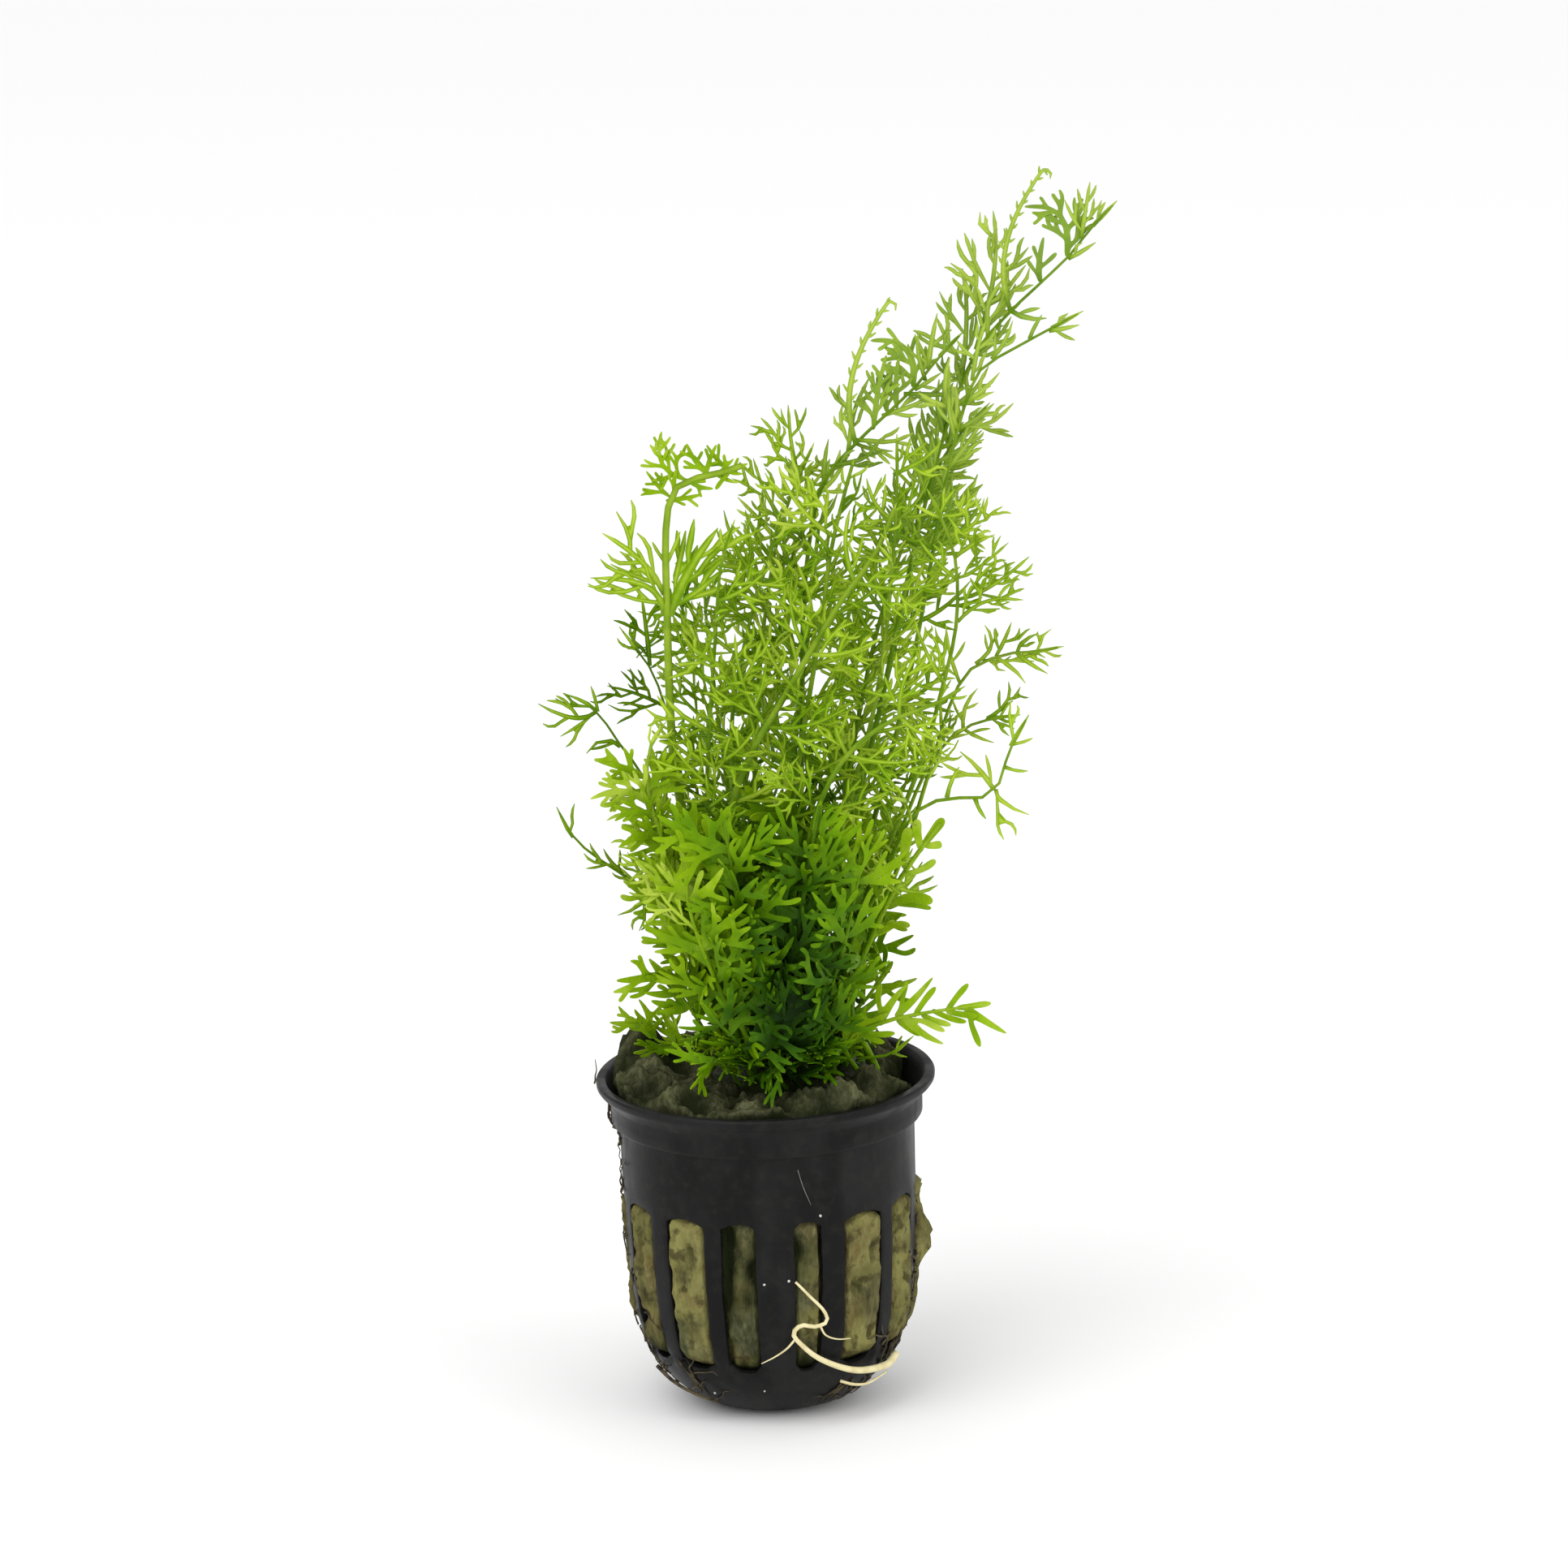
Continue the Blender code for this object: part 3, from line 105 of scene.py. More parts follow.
# name, stalk widths, way the blade faces, lobe width, tone from dark to yellow-green, stalk line
# from the rootstock, pinnae (share of the stalk, tip, and for most a point passed on the way), and
# filling pinnae (first share, last share, pairs, length, angle)
FRONDS = (
    ("tall_left", (1.7, 1), (-0.25, -1, 0.25), 0.8, 0.6,
     ((-2.6, -2.2, 56.9), (-7.4, -6, 74.5), (-10.6, -9, 94.2), (-12.5, -10, 106.5), (-12.9, -10, 119.7),
      (-12.8, -10, 132.2), (-12.6, -9, 144.5), (-11.4, -9, 151), (-8.7, -9, 153.2), (-4, -9, 154.2),
      (0.7, -9, 155.6)),
     ((0.705, (-24.6, -12, 138.8), (-16.1, -11, 137)),
      (0.725, (-22.5, -9, 145.2), (-16.8, -9.4, 140.8)), (0.72, (-5, -10, 145.1), (-9.5, -10, 138.5)),
      (0.745, (2.5, -12, 147.3), (-3.8, -10.8, 143)), (0.785, (-14.7, -9, 143.5)),
      (0.79, (-10.3, -8, 144.8)), (0.875, (-15.3, -9, 155), (-13.3, -9, 152.3)),
      (0.88, (-12.6, -9, 161.3), (-12.8, -9, 156.3)), (0.905, (-8.8, -9, 159.2)),
      (0.925, (-5.7, -9, 158.9)), (0.95, (-4.5, -9, 151.6)), (0.96, (-2.6, -8, 157.5))),
     None),
    ("plume_main", (1.6, 0.5), (0.37, -1, 0.25), 1, -0.3,
     ((6.6, 1.4, 57.7), (7.9, 3, 68.6), (13.7, 5, 88), (19.3, 6, 107.6), (23.7, 6, 126.1),
      (28.4, 5, 144.7), (33.3, 4, 160.6), (37.4, 3, 169.8), (42.6, 2, 175.9), (47.6, 1, 180.7),
      (52.4, 0, 185.4), (55.5, 0, 189.3), (59.7, -1, 193.8)),
     ((0.745, (35.6, 5, 181.9), (35.9, 4.3, 174.8)), (0.78, (40.7, 3, 190.9), (40.4, 3, 181.5)),
      (0.835, (48.1, 1, 198.4), (42.3, 1.5, 187)), (0.835, (48.3, 3, 174.4), (45.5, 2.5, 174.6)),
      (0.88, (48.1, 0, 188.2), (47.3, 0.5, 183.8)), (0.92, (45.3, 2, 192.2), (50.8, 1, 191)),
      (0.945, (55.6, 0, 196.7), (54.7, 0, 191.8)), (0.93, (56.2, 0, 187.5))),
     (0.5, 0.72, 2, 9, 40)),
    ("plume_side", (1.5, 0.5), (0.37, -1, 0.25), 1, -0.2,
     ((8.9, -0.8, 57.4), (9.8, -2, 70), (16.9, -3, 90.1), (22.7, -3, 109.9), (27.1, -3, 128.3),
      (30.8, -3, 146.6), (33.7, -4, 158.6), (37.1, -4, 167.6), (42.3, -5, 171.3), (49.4, -5, 175),
      (53.9, -5, 177.3)),
     ((0.785, (32.8, -5, 170.6), (32, -4.5, 165.3)), (0.845, (38.6, -5, 176.3), (37.2, -4.5, 171.6)),
      (0.88, (42.8, -5, 176.1), (41.5, -4.8, 172.9)), (0.89, (49.9, -6, 170.6), (45.7, -5.4, 170.8)),
      (0.93, (47.4, -5, 176.9)), (0.955, (53.2, -6, 175.3)), (0.795, (39.1, -6, 163.6))),
     (0.55, 0.72, 1, 10, 40)),
    ("second_main", (1.6, 0.5), (0.07, -1, 0.25), 1, -0.2,
     ((1, 1.6, 57.6), (4.7, 1, 69.3), (6.6, 2, 89.1), (7.7, 2, 109.1), (8.6, 1, 129.2),
      (10.3, 0, 142.6), (12.5, -1, 150.5), (17.8, -2, 156.6), (22.7, -2, 161.1), (27.6, -2, 165.6),
      (30.8, -2, 169.6), (35.1, -3, 174.2)),
     ((0.685, (10.7, 1, 162.5), (10.1, 0.4, 154.4)), (0.74, (15.8, 0, 171.3), (15.5, -0.5, 161.6)),
      (0.805, (23.3, -1, 178.6), (17.5, -1.5, 167.4)), (0.81, (23.5, 1, 154.3)),
      (0.86, (23.4, -2, 168.4), (22.5, -2, 164.4)), (0.905, (20.5, 0, 172.5), (26, -1, 171.2)),
      (0.935, (31.1, -2, 177), (30, -2, 172.1)), (0.915, (31.5, -2, 167.6))),
     (0.42, 0.62, 1, 10, 42)),
    ("second_side", (1.4, 0.5), (0.24, -1, 0.25), 1, 0,
     ((5.6, 5.2, 57.2), (7.9, 8, 67.2), (12.5, 11, 86.3), (16.3, 12, 106), (20.8, 11, 124.8),
      (26.4, 10, 140.8), (32.5, 9, 152.5), (39.1, 8, 159.9)),
     ((0.88, (36.4, 9, 153.9)), (0.86, (26.3, 10, 158), (27.2, 9.7, 152.8)),
      (0.915, (34.1, 9, 163.2), (33.4, 9, 158.7)), (0.835, (35, 10, 148.7))),
     (0.48, 0.8, 2, 12, 42)),
    ("third_top", (1.5, 0.5), (-0.04, -1, 0.25), 1, 0.5,
     ((1.2, -2.5, 57.6), (0.2, -2, 70.4), (-0.4, -1, 90.2), (0.5, 0, 109.9), (2.1, 1, 125.5),
      (4.4, 2, 138.4), (7.3, 3, 147.3), (11.2, 4, 155.4)),
     ((0.895, (3.3, 3, 151)), (0.92, (6.6, 4, 153.4)), (0.79, (-2.4, 2, 143.2), (0.3, 1.9, 140.1)),
      (0.94, (13.3, 4, 153.4))),
     (0.45, 0.84, 2, 12, 42)),
    ("right_upper", (1.5, 0.6), (0.36, -1, 0.25), 1, 0.4,
     ((10.9, -3.6, 56.6), (13.1, -6, 73.8), (20.1, -9, 91.7), (26.2, -11, 106.7), (29.8, -12, 118.7),
      (32.4, -12, 129.2), (32.6, -11, 139.4), (30.4, -10, 146.4), (28.5, -10, 150.8)),
     ((0.68, (25.7, -13, 131), (27.4, -12.5, 125.5)), (0.78, (41.8, -16, 134.1), (36.8, -14, 133.2)),
      (0.81, (44.1, -14, 140.3), (38.1, -12.9, 135.5)), (0.82, (41, -12, 142.2), (36.1, -11.8, 138.2)),
      (0.865, (27, -12, 143.1)), (0.88, (38.9, -13, 143.8), (35.6, -12, 142.2)),
      (0.905, (37.4, -11, 149.2), (35.7, -10.8, 145.1)), (0.92, (34.9, -10, 150.9), (34.2, -10.2, 147)),
      (0.935, (26.6, -10, 148.3))),
     None),
    ("right_mid", (1.4, 0.5), (0.36, -1, 0.25), 1, 0.4,
     ((13.8, -1.6, 55.8), (15.7, 1, 70.3), (22.7, 3, 86.9), (27.7, 4, 101.2), (31.2, 4, 111.7),
      (34.6, 3, 117.8), (40.4, 2, 120.4), (44.9, 1, 120.9), (49.5, 0, 121.9)),
     ((0.615, (22.9, 5, 113.1), (24.7, 4.5, 108.4)), (0.775, (31, 5, 124.7), (31.5, 4.2, 120.3)),
      (0.825, (37.1, 4, 124.8), (38.1, 3.4, 121.6)), (0.86, (41.8, 3, 125.8), (40.5, 2.7, 123)),
      (0.9, (45.5, 1, 123.9), (43.2, 1.4, 122.6)), (0.875, (43.3, 2, 115.5), (41.6, 2.1, 117.7)),
      (0.93, (46.8, 0, 117.5))),
     None),
    ("right_low_mid", (1.3, 0.5), (0.3, -1, 0.25), 1, 0.3,
     ((13.4, 4.3, 55.6), (14.4, 6, 67.5), (20.1, 8, 82.9), (25, 9, 95.2), (28.4, 9, 101.8),
      (32.4, 8, 106.2), (36.9, 7, 108.4), (42.5, 6, 109.3)),
     ((0.705, (22.2, 10, 107.7), (24.4, 9.6, 104.4)), (0.795, (30, 10, 111.4)),
      (0.855, (35.8, 9, 113.1), (33.8, 8.4, 110.4)), (0.92, (40.7, 8, 114.3), (40.3, 7.5, 111.1)),
      (0.94, (42.4, 6, 111.8)), (0.865, (38.1, 7, 104.6))),
     None),
    ("right_arch", (1.3, 0.5), (0.29, -1, 0.25), 1, 0.4,
     ((13.5, -4, 55.6), (13.7, -8, 73), (19.2, -10, 86.7), (24, -12, 97.7), (29.2, -13, 101.2),
      (35.9, -13, 101.3), (38.9, -13, 104.4), (40, -12, 108.4), (43.4, -11, 113.9)),
     ((0.715, (32.2, -12, 106.1)), (0.785, (42.9, -15, 98.7), (39.1, -14, 100.4)),
      (0.775, (36.1, -14, 98)), (0.835, (32.4, -11, 108.3), (35.1, -12, 105.8)),
      (0.875, (42.9, -13, 105.3)), (0.905, (37.5, -12, 113.3), (39.1, -12.1, 110.7)),
      (0.93, (43.8, -13, 110.6))),
     None),
    ("left_spray", (1.2, 0.4), (-0.28, -1, 0.25), 1, -0.2,
     ((-4.9, -1.4, 56.2), (-8.9, 2, 69.5), (-12.2, 3, 84.1), (-15, 3, 96.3), (-18.6, 2, 104),
      (-22, 1, 109.4), (-23.8, 1, 112.6), (-26.2, 1, 115.1), (-29.4, 2, 116.4)),
     ((0.62, (-13.8, 3, 105.6)), (0.815, (-26.5, 0, 107.1), (-23.9, 0.6, 109)),
      (0.845, (-30.3, -1, 110.5), (-26, 0, 110.9)), (0.895, (-33.8, 0, 115.5), (-28.5, 0.5, 112.9)),
      (0.915, (-25.4, 2, 117.6)), (0.685, (-21.9, 1, 100.4))),
     None),
    ("left_droop", (1.2, 0.4), (-0.33, -1, 0.25), 1, -0.1,
     ((-6, 0.8, 55.8), (-7.8, 6, 62.9), (-11.3, 7, 72.2), (-16.2, 7, 80.2), (-21.2, 6, 85),
      (-25.6, 5, 88.6), (-29.3, 4, 92.5), (-31.6, 4, 97.4)),
     ((0.525, (-19, 7, 75.7)), (0.56, (-22.6, 6, 78.6), (-19.5, 6.5, 79.7)), (0.63, (-20.7, 6, 89)),
      (0.685, (-24.7, 5, 91), (-23.4, 5.5, 88.1)), (0.755, (-27.3, 5, 86.8)),
      (0.365, (-13.6, 8, 80.1))),
     None),
    ("left_thin", (1.2, 0.4), (-0.23, -1, 0.25), 1, -0.6,
     ((-3.5, 2.5, 56.6), (-8.8, 5, 71.3), (-10.8, 7, 88.3), (-11.8, 7, 101.8), (-13.2, 6, 110.1),
      (-15.5, 5, 118.4), (-18.5, 4, 123.5), (-20.6, 4, 126.6)),
     ((0.45, (-6.6, 8, 96.6)), (0.605, (-7.7, 8, 109.3), (-9.1, 7.5, 104.8)),
      (0.79, (-22.8, 3, 117.2), (-18.2, 4.3, 115.4)), (0.825, (-19.9, 5, 128.7), (-16.6, 5.2, 122.4)),
      (0.89, (-16.9, 6, 131.2), (-16.3, 5.4, 125))),
     None),
    ("left_broad", (1.5, 0.7), (-0.27, -1, 0.25), 1.2, 0.8,
     ((-5, -5.7, 55.4), (-9.2, -9, 68.8), (-12.5, -12, 84.5), (-15, -14, 97.1), (-17, -15, 105.4),
      (-15.9, -15, 112.6), (-13.4, -14, 115.8)),
     ((0.54, (-18.1, -16, 90.5)), (0.685, (-21.8, -17, 96.2), (-18.4, -15.5, 97.6)),
      (0.735, (-22.2, -17, 100.6), (-19, -15.7, 101.7)),
      (0.79, (-25.9, -17, 104.3), (-21, -15.9, 105.1)),
      (0.825, (-24.6, -15, 109.9), (-20.9, -15, 108.8)),
      (0.78, (-10, -14, 110.1), (-13.4, -14.4, 106.4)), (0.64, (-9, -15, 103.1), (-11.1, -14.3, 99))),
     None),
    ("low_left", (1.4, 0.7), (-0.23, -1, 0.25), 1.3, 0.65,
     ((-6.6, -3.5, 55.2), (-7.8, -5, 64.8), (-10.7, -6, 73.3), (-13.4, -7, 80.4), (-16.4, -7, 88.5)),
     ((0.535, (-16.1, -8, 76.5)), (0.67, (-17.5, -8, 80.1)),
      (0.755, (-8.8, -7, 90.9), (-10.3, -7, 85.6)), (0.86, (-18.7, -8, 88.9))),
     None),
    ("low_left_fan", (1.2, 0.6), (-0.23, -1, 0.25), 1.2, 0.4,
     ((-8, -0.9, 54.9), (-9.4, -9, 64.1), (-13, -12, 70.5), (-17.7, -14, 77.1)),
     ((0.605, (-16.4, -13, 68.1)), (0.705, (-18.6, -14, 71.5)), (0.77, (-18.2, -15, 74.5)),
      (0.655, (-11.2, -13, 76.7))),
     None),
    ("low_left_tip", (1, 0.4), (-0.31, -1, 0.25), 1, 0.4,
     ((-8.1, 2.9, 54.7), (-10.3, 2, 57.7), (-16.4, 2, 58.4), (-21.2, 2, 63)),
     ((0.48, (-16.6, 3, 64.1)), (0.68, (-19.4, 2, 62.6)), (0.48, (-19.9, 1, 56.5))),
     None),
    ("low_right", (1.5, 0.8), (0.22, -1, 0.25), 1.3, 0.8,
     ((16, -2.9, 54.7), (11.6, -7, 66.1), (17, -9, 77.2), (21.8, -11, 86.9), (25.8, -12, 93),
      (29.5, -12, 97.8)),
     ((0.545, (23.7, -12, 80.5), (20.9, -10.6, 80.2)), (0.645, (27.4, -13, 84.4), (23.6, -11.6, 85)),
      (0.7, (29.2, -13, 88), (25, -11.9, 87)), (0.795, (30.3, -13, 90.4), (27, -12.3, 90.8)),
      (0.675, (18.1, -11, 93), (18.7, -10.8, 89)), (0.805, (24, -12, 97.1)),
      (0.895, (29.1, -12, 93.6))),
     None),
    ("low_right_fan", (1.2, 0.5), (0.18, -1, 0.25), 1.2, 0.8,
     ((16.7, 1.6, 54.5), (13.4, 2, 60.4), (17.1, 3, 64.9), (20.9, 3, 70.3)),
     ((0.645, (22.3, 3, 67)), (0.545, (14.4, 4, 70.8)), (0.445, (20, 3, 62.1)), (0.785, (17.7, 4, 72))),
     None),
    ("low_right_long", (1.3, 0.5), (0.28, -1, 0.25), 1.1, 0.9,
     ((14.4, -5.4, 54.9), (12, -10, 60.9), (17.9, -12, 64.4), (24.3, -13, 66.1), (30.1, -14, 67.1),
      (36.1, -14, 67.8)),
     ((0.36, (19, -13, 61.6)), (0.41, (21.7, -12, 70.8), (19.2, -11.9, 67.2)),
      (0.55, (27.1, -12, 71.9), (24.1, -12.3, 68.5)), (0.57, (24.8, -14, 62.9)),
      (0.63, (29.6, -15, 64.7)), (0.79, (33.9, -15, 66))),
     None),
    ("low_right_tip", (1, 0.4), (0.23, -1, 0.25), 1, 0.5,
     ((16.5, -1, 54.7), (15.2, -4, 56.6), (19.7, -4, 57.1), (23.8, -4, 59.9)),
     ((0.49, (18.3, -6, 54.5)), (0.635, (22.6, -5, 56.7))),
     None),
    ("mid_diagonal", (1.7, 0.7), (-0.08, -1, 0.25), 1, 0.3,
     ((1.9, -5.1, 57.2), (-4.1, -12, 80.1), (-4, -14, 99.3), (-0.5, -15, 110.1), (4.2, -15, 117.8),
      (9.6, -15, 126.8), (15, -14, 134.9), (20.3, -13, 141.7), (23.7, -12, 149.2)),
     (),
     (0.4, 0.93, 4, 15, 48)),
    ("mid_sweep", (1.5, 0.6), (0.29, -1, 0.25), 1, 0.3,
     ((6.4, -5.9, 56.9), (6.2, -14, 80.4), (8.7, -17, 98.4), (14.1, -18, 109.7), (21.3, -18, 115.4),
      (28.4, -17, 117.7), (33.5, -16, 120.3)),
     (),
     (0.4, 0.92, 4, 13, 50)),
    ("mid_front", (1.6, 0.7), (0.23, -1, 0.25), 1, 0.2,
     ((3.4, -4, 57.5), (3, -9, 79), (5.6, -11, 99.5), (8.7, -12, 116.8), (11.5, -11, 131),
      (12.9, -10, 139.9), (14.8, -9, 147.4), (17.3, -8, 155.6)),
     (),
     (0.42, 0.94, 4, 15, 48)),
    ("mid_left", (1.5, 0.6), (-0.56, -1, 0.25), 1, 0.2,
     ((-1.1, -5.5, 56.6), (-6.6, -12, 80.2), (-7.6, -13, 100.5), (-6.6, -13, 116.3), (-5.3, -12, 129.2),
      (-4.2, -11, 139.4), (-1.7, -10, 146.9)),
     (),
     (0.36, 0.93, 4, 13, 48)),
    ("mid_left_inner", (1.5, 0.6), (-0.37, -1, 0.25), 1, 0,
     ((-0.1, -2.6, 57.4), (-3.2, -5, 78.1), (-3.4, -6, 98.4), (-3.2, -6, 114.3), (0.3, -6, 130.1),
      (3.8, -5, 140.2), (6, -4, 147.8)),
     (),
     (0.38, 0.93, 4, 14, 48)),
    ("mid_right", (1.5, 0.6), (0.78, -1, 0.25), 1, 0.3,
     ((8.6, -3.5, 57.2), (9.4, -8, 78.5), (14.5, -9, 98.6), (18.9, -9, 114.3), (21.4, -9, 127.4),
      (22.8, -9, 139.2), (23.8, -9, 149.7), (24.1, -9, 159.5)),
     (),
     (0.36, 0.94, 4, 14, 48)),
    ("mid_right_back", (1.4, 0.6), (0.3, 1, 0.3), 1, -0.1,
     ((9.7, 5.1, 56.6), (9.4, 10, 73.3), (15.3, 14, 92.1), (21.1, 16, 111.5), (25.2, 17, 127.1),
      (27.1, 17, 139), (28.7, 16, 148.5)),
     (),
     (0.36, 0.93, 4, 14, 48)),
    ("mid_left_back", (1.4, 0.6), (-0.3, 1, 0.3), 1, -0.1,
     ((0.5, 5.5, 56.9), (-2.2, 11, 73.4), (-4.1, 14, 92.8), (-5.8, 16, 111.1), (-6.9, 17, 124.3),
      (-6.8, 17, 133.6)),
     (),
     (0.36, 0.93, 4, 14, 48)),
    ("mid_back", (1.4, 0.6), (0, 1, 0.3), 1, -0.2,
     ((4.3, 7.2, 56.6), (3.6, 14, 72.3), (5.6, 18, 91.4), (7.6, 21, 110.6), (10, 22, 126.3),
      (11.7, 22, 138.3)),
     (),
     (0.34, 0.93, 4, 14, 48)),
    ("front_left", (1.5, 0.8), (-0.34, -1, 0.25), 1.4, 0.2,
     ((1.7, -9.7, 55.4), (-1.2, -17, 70.2), (-2.7, -20, 82.4), (-4, -22, 93.6), (-5.4, -23, 103.9)),
     (),
     (0.32, 0.92, 3, 13, 50)),
    ("front_right", (1.5, 0.8), (0.11, -1, 0.25), 1.4, -0.4,
     ((6.5, -9.6, 55.4), (4.2, -18, 71.6), (6.2, -21, 84.4), (8.5, -22, 95.8), (10.3, -22, 104.3)),
     (),
     (0.32, 0.92, 3, 13, 50)),
    ("front_far_left", (1.4, 0.8), (-0.64, -1, 0.25), 1.4, 0.9,
     ((-2.2, -8.2, 55.4), (-5.1, -15, 67.7), (-8.4, -18, 77.4), (-10.9, -20, 86.7), (-11.6, -21, 96.3)),
     (),
     (0.32, 0.92, 3, 11, 50)),
    ("front_far_right", (1.4, 0.8), (0.47, -1, 0.25), 1.4, 0.2,
     ((11.1, -7.6, 55.4), (10.3, -15, 68.5), (13.1, -18, 79.3), (15.4, -19, 89.4), (17.3, -19, 98)),
     (),
     (0.32, 0.92, 3, 11, 50)),
    ("front_core", (1.4, 0.8), (-0.11, -1, 0.25), 1.3, -0.9,
     ((4, -8.1, 56.2), (1, -12, 67.9), (1.7, -15, 80.8), (2.3, -16, 91), (2.4, -16, 100.3)),
     (),
     (0.34, 0.92, 3, 10, 50)),
    ("front_low_left", (1.1, 0.6), (-0.43, -1, 0.25), 1.3, 0,
     ((-0.4, -10.8, 54.5), (-3.4, -18, 63.2), (-7.1, -21, 68), (-9.9, -22, 72.4)),
     (),
     (0.35, 0.9, 2, 8, 50)),
    ("front_low_mid", (1.1, 0.6), (-0.07, -1, 0.25), 1.3, -0.8,
     ((5.1, -11.7, 54.4), (2.3, -18, 61.7), (3.1, -22, 67.9), (2.4, -23, 74.5)),
     (),
     (0.35, 0.9, 2, 9, 52)),
    ("front_low_right", (1.1, 0.6), (0.27, -1, 0.25), 1.3, 0.2,
     ((10.4, -10, 54.5), (8.1, -17, 61.8), (11.4, -20, 66.2), (14.1, -21, 71.5)),
     (),
     (0.35, 0.9, 2, 8, 50)),
    ("front_hem_left", (0.9, 0.5), (-0.53, -1, 0.25), 1.1, 0.1,
     ((-4.1, -9.4, 54.3), (-6.4, -16, 59.8), (-9.2, -18, 61.4), (-11.8, -19, 60.9)),
     (),
     (0.4, 0.85, 1, 6, 50)),
    ("front_hem_right", (0.9, 0.5), (-0.16, -1, 0.25), 1.1, 0.3,
     ((3.5, -11.9, 54.3), (0.7, -16, 59), (1.6, -19.5, 59.5), (2.7, -23, 58.6)),
     (),
     (0.5, 0.8, 1, 5, 60)),
    ("back_left", (1.4, 0.7), (-0.5, 1, 0.3), 1.3, 0.1,
     ((-4.4, 6.4, 55.4), (-5.2, 12, 61.1), (-8.8, 16, 70.8), (-11, 19, 80.9), (-11.9, 21, 91.1)),
     (),
     (0.32, 0.92, 3, 12, 50)),
    ("back_mid", (1.4, 0.7), (0, 1, 0.3), 1.3, -0.2,
     ((3, 9.9, 55.4), (0.6, 15, 60), (1, 20, 70.7), (0.8, 24, 81.7), (0.4, 26, 90.7)),
     (),
     (0.36, 0.92, 2, 14, 50)),
    ("back_right", (1.4, 0.7), (0.5, 1, 0.3), 1.3, 0.6,
     ((11.1, 7.6, 55.4), (9, 12, 60.5), (13.3, 16, 70), (16.9, 19, 79.9), (19.2, 21, 88.7)),
     (),
     (0.32, 0.92, 3, 12, 50)),
    ("back_low", (1.1, 0.6), (0.2, 1, 0.3), 1.3, 0,
     ((8.4, 10.8, 54.5), (5.7, 16, 57), (8.5, 20, 60.9), (10.6, 22, 65.9)),
     (),
     (0.35, 0.9, 2, 9, 50)),
)

# leaves
BUSH = Vector((4.5, 0.0, 0.0))     # axis of the foliage
BUSH_LEAN = 0.07                   # how far it leans to the right with height
BASAL_FOOT, HEM_TOP, BASAL_TOP = 56.5, 63.0, 98.0  # heights of the low leaves, over the wool and above
FILL_TOP, FILL_SIDE = 172.0, 26.0  # and how far up and to the right small ones fill the gaps
STALK_TIP = 6.0                    # length of stalk that they leave free at its end
BARE = ("tall_left", "left_thin", "left_droop", "left_spray", "right_arch", "low_right_long",
        "mid_diagonal", "mid_sweep", "low_left_tip", "low_right_tip", "front_hem_left",
        "front_hem_right", "plume_main", "plume_side", "second_main")
# more pinnae in a frond's own plane: first and last share of the stalk, distance, lengths, angles
PLANE_FILL = {
    "plume_main": (0.52, 0.80, 4.4, (7, 12), (0.3, 0.7)),
    "plume_side": (0.58, 0.85, 5.0, (7, 11), (0.3, 0.7)),
    "second_main": (0.42, 0.95, 3.2, (7, 12), (0.3, 0.8)),
    "second_side": (0.35, 0.95, 3.2, (7, 12), (0.3, 0.8)),
    "third_top": (0.35, 0.97, 3.8, (7, 12), (0.3, 0.8)),
    "tall_left": (0.87, 0.96, 2.2, (3, 5.5), (0.5, 1.2)),
    "left_broad": (0.52, 0.84, 2.4, (4, 7.5), (0.5, 1.0)),
    "low_left": (0.55, 0.95, 4.0, (6, 10), (0.5, 0.9)),
    "low_left_fan": (0.50, 0.95, 4.0, (5, 8), (0.5, 0.9)),
    "low_right": (0.34, 0.90, 5.5, (4, 7), (0.5, 0.9)),
    "low_right_fan": (0.40, 0.95, 3.4, (5, 8), (0.5, 0.9)),
    "low_right_long": (0.18, 0.95, 3.0, (4.5, 9), (0.45, 0.85)),
    "front_hem_left": (0.35, 0.95, 2.2, (4, 6), (0.6, 1.1)),
    "front_hem_right": (0.35, 0.95, 2.2, (4, 6), (0.6, 1.1)),
    "low_left_tip": (0.35, 0.95, 2.6, (4, 8), (0.3, 0.7)),
}
# open places in the foliage, seen from the front: x, z, radius
GAPS = ((-9.5, 109.0, 6.5), (25.5, 93.5, 5.0), (27.0, 121.0, 4.5), (36.0, 124.0, 6.0),
        (13.0, 112.0, 3.5), (2.0, 128.0, 3.5), (-8.0, 88.0, 2.6), (-11.0, 80.0, 2.2),
        (-3.5, 82.0, 2.0), (-8.5, 71.0, 2.0), (22.0, 85.0, 4.5), (28.0, 88.0, 4.0))
# heights, and how far left and right the low leaves reach at each
BASAL_SPAN = ((57.0, 62.0, 70.0, 76.0, 85.0), (-15.0, -12.0, -9.5, -11.0, -16.5),
              (18.0, 16.0, 13.5, 13.5, 15.0))
FINE_FOOT, FINE_SIDE = 82.0, 20.0  # beside them fine leaves begin at this height, and this far right they end
WEBBED_SIDE = -2.0                 # left of this they are wide ones
BLADE_THICK = 0.18
TONE_SPREAD, PINNULE_SPREAD = 0.24, 0.20  # how far the tone of broad leaves and of pinnules varies
FINE_TONES = (-0.30, 0.52)         # and that of fine leaves
TWIG_BOW = 0.42                    # how far a pinnule's line bends to and fro
LEAF_CREASE, POT_CREASE = 60, 38   # degrees, above which an edge stays sharp
STALK_STEP = 3.6                   # between two rings of a stalk
STALK_THIN = {"tall_left": 1.0, "mid_diagonal": 0.95, "mid_sweep": 0.9, "low_right": 0.9}
STALK_SHARE, STALK_FLAT = 0.75, 0.88  # its width against the solid's, and its thickness against its width
GREEN_LOW, GREEN_HIGH = 84.0, 104.0  # between these heights a stalk turns from leaf green to its own
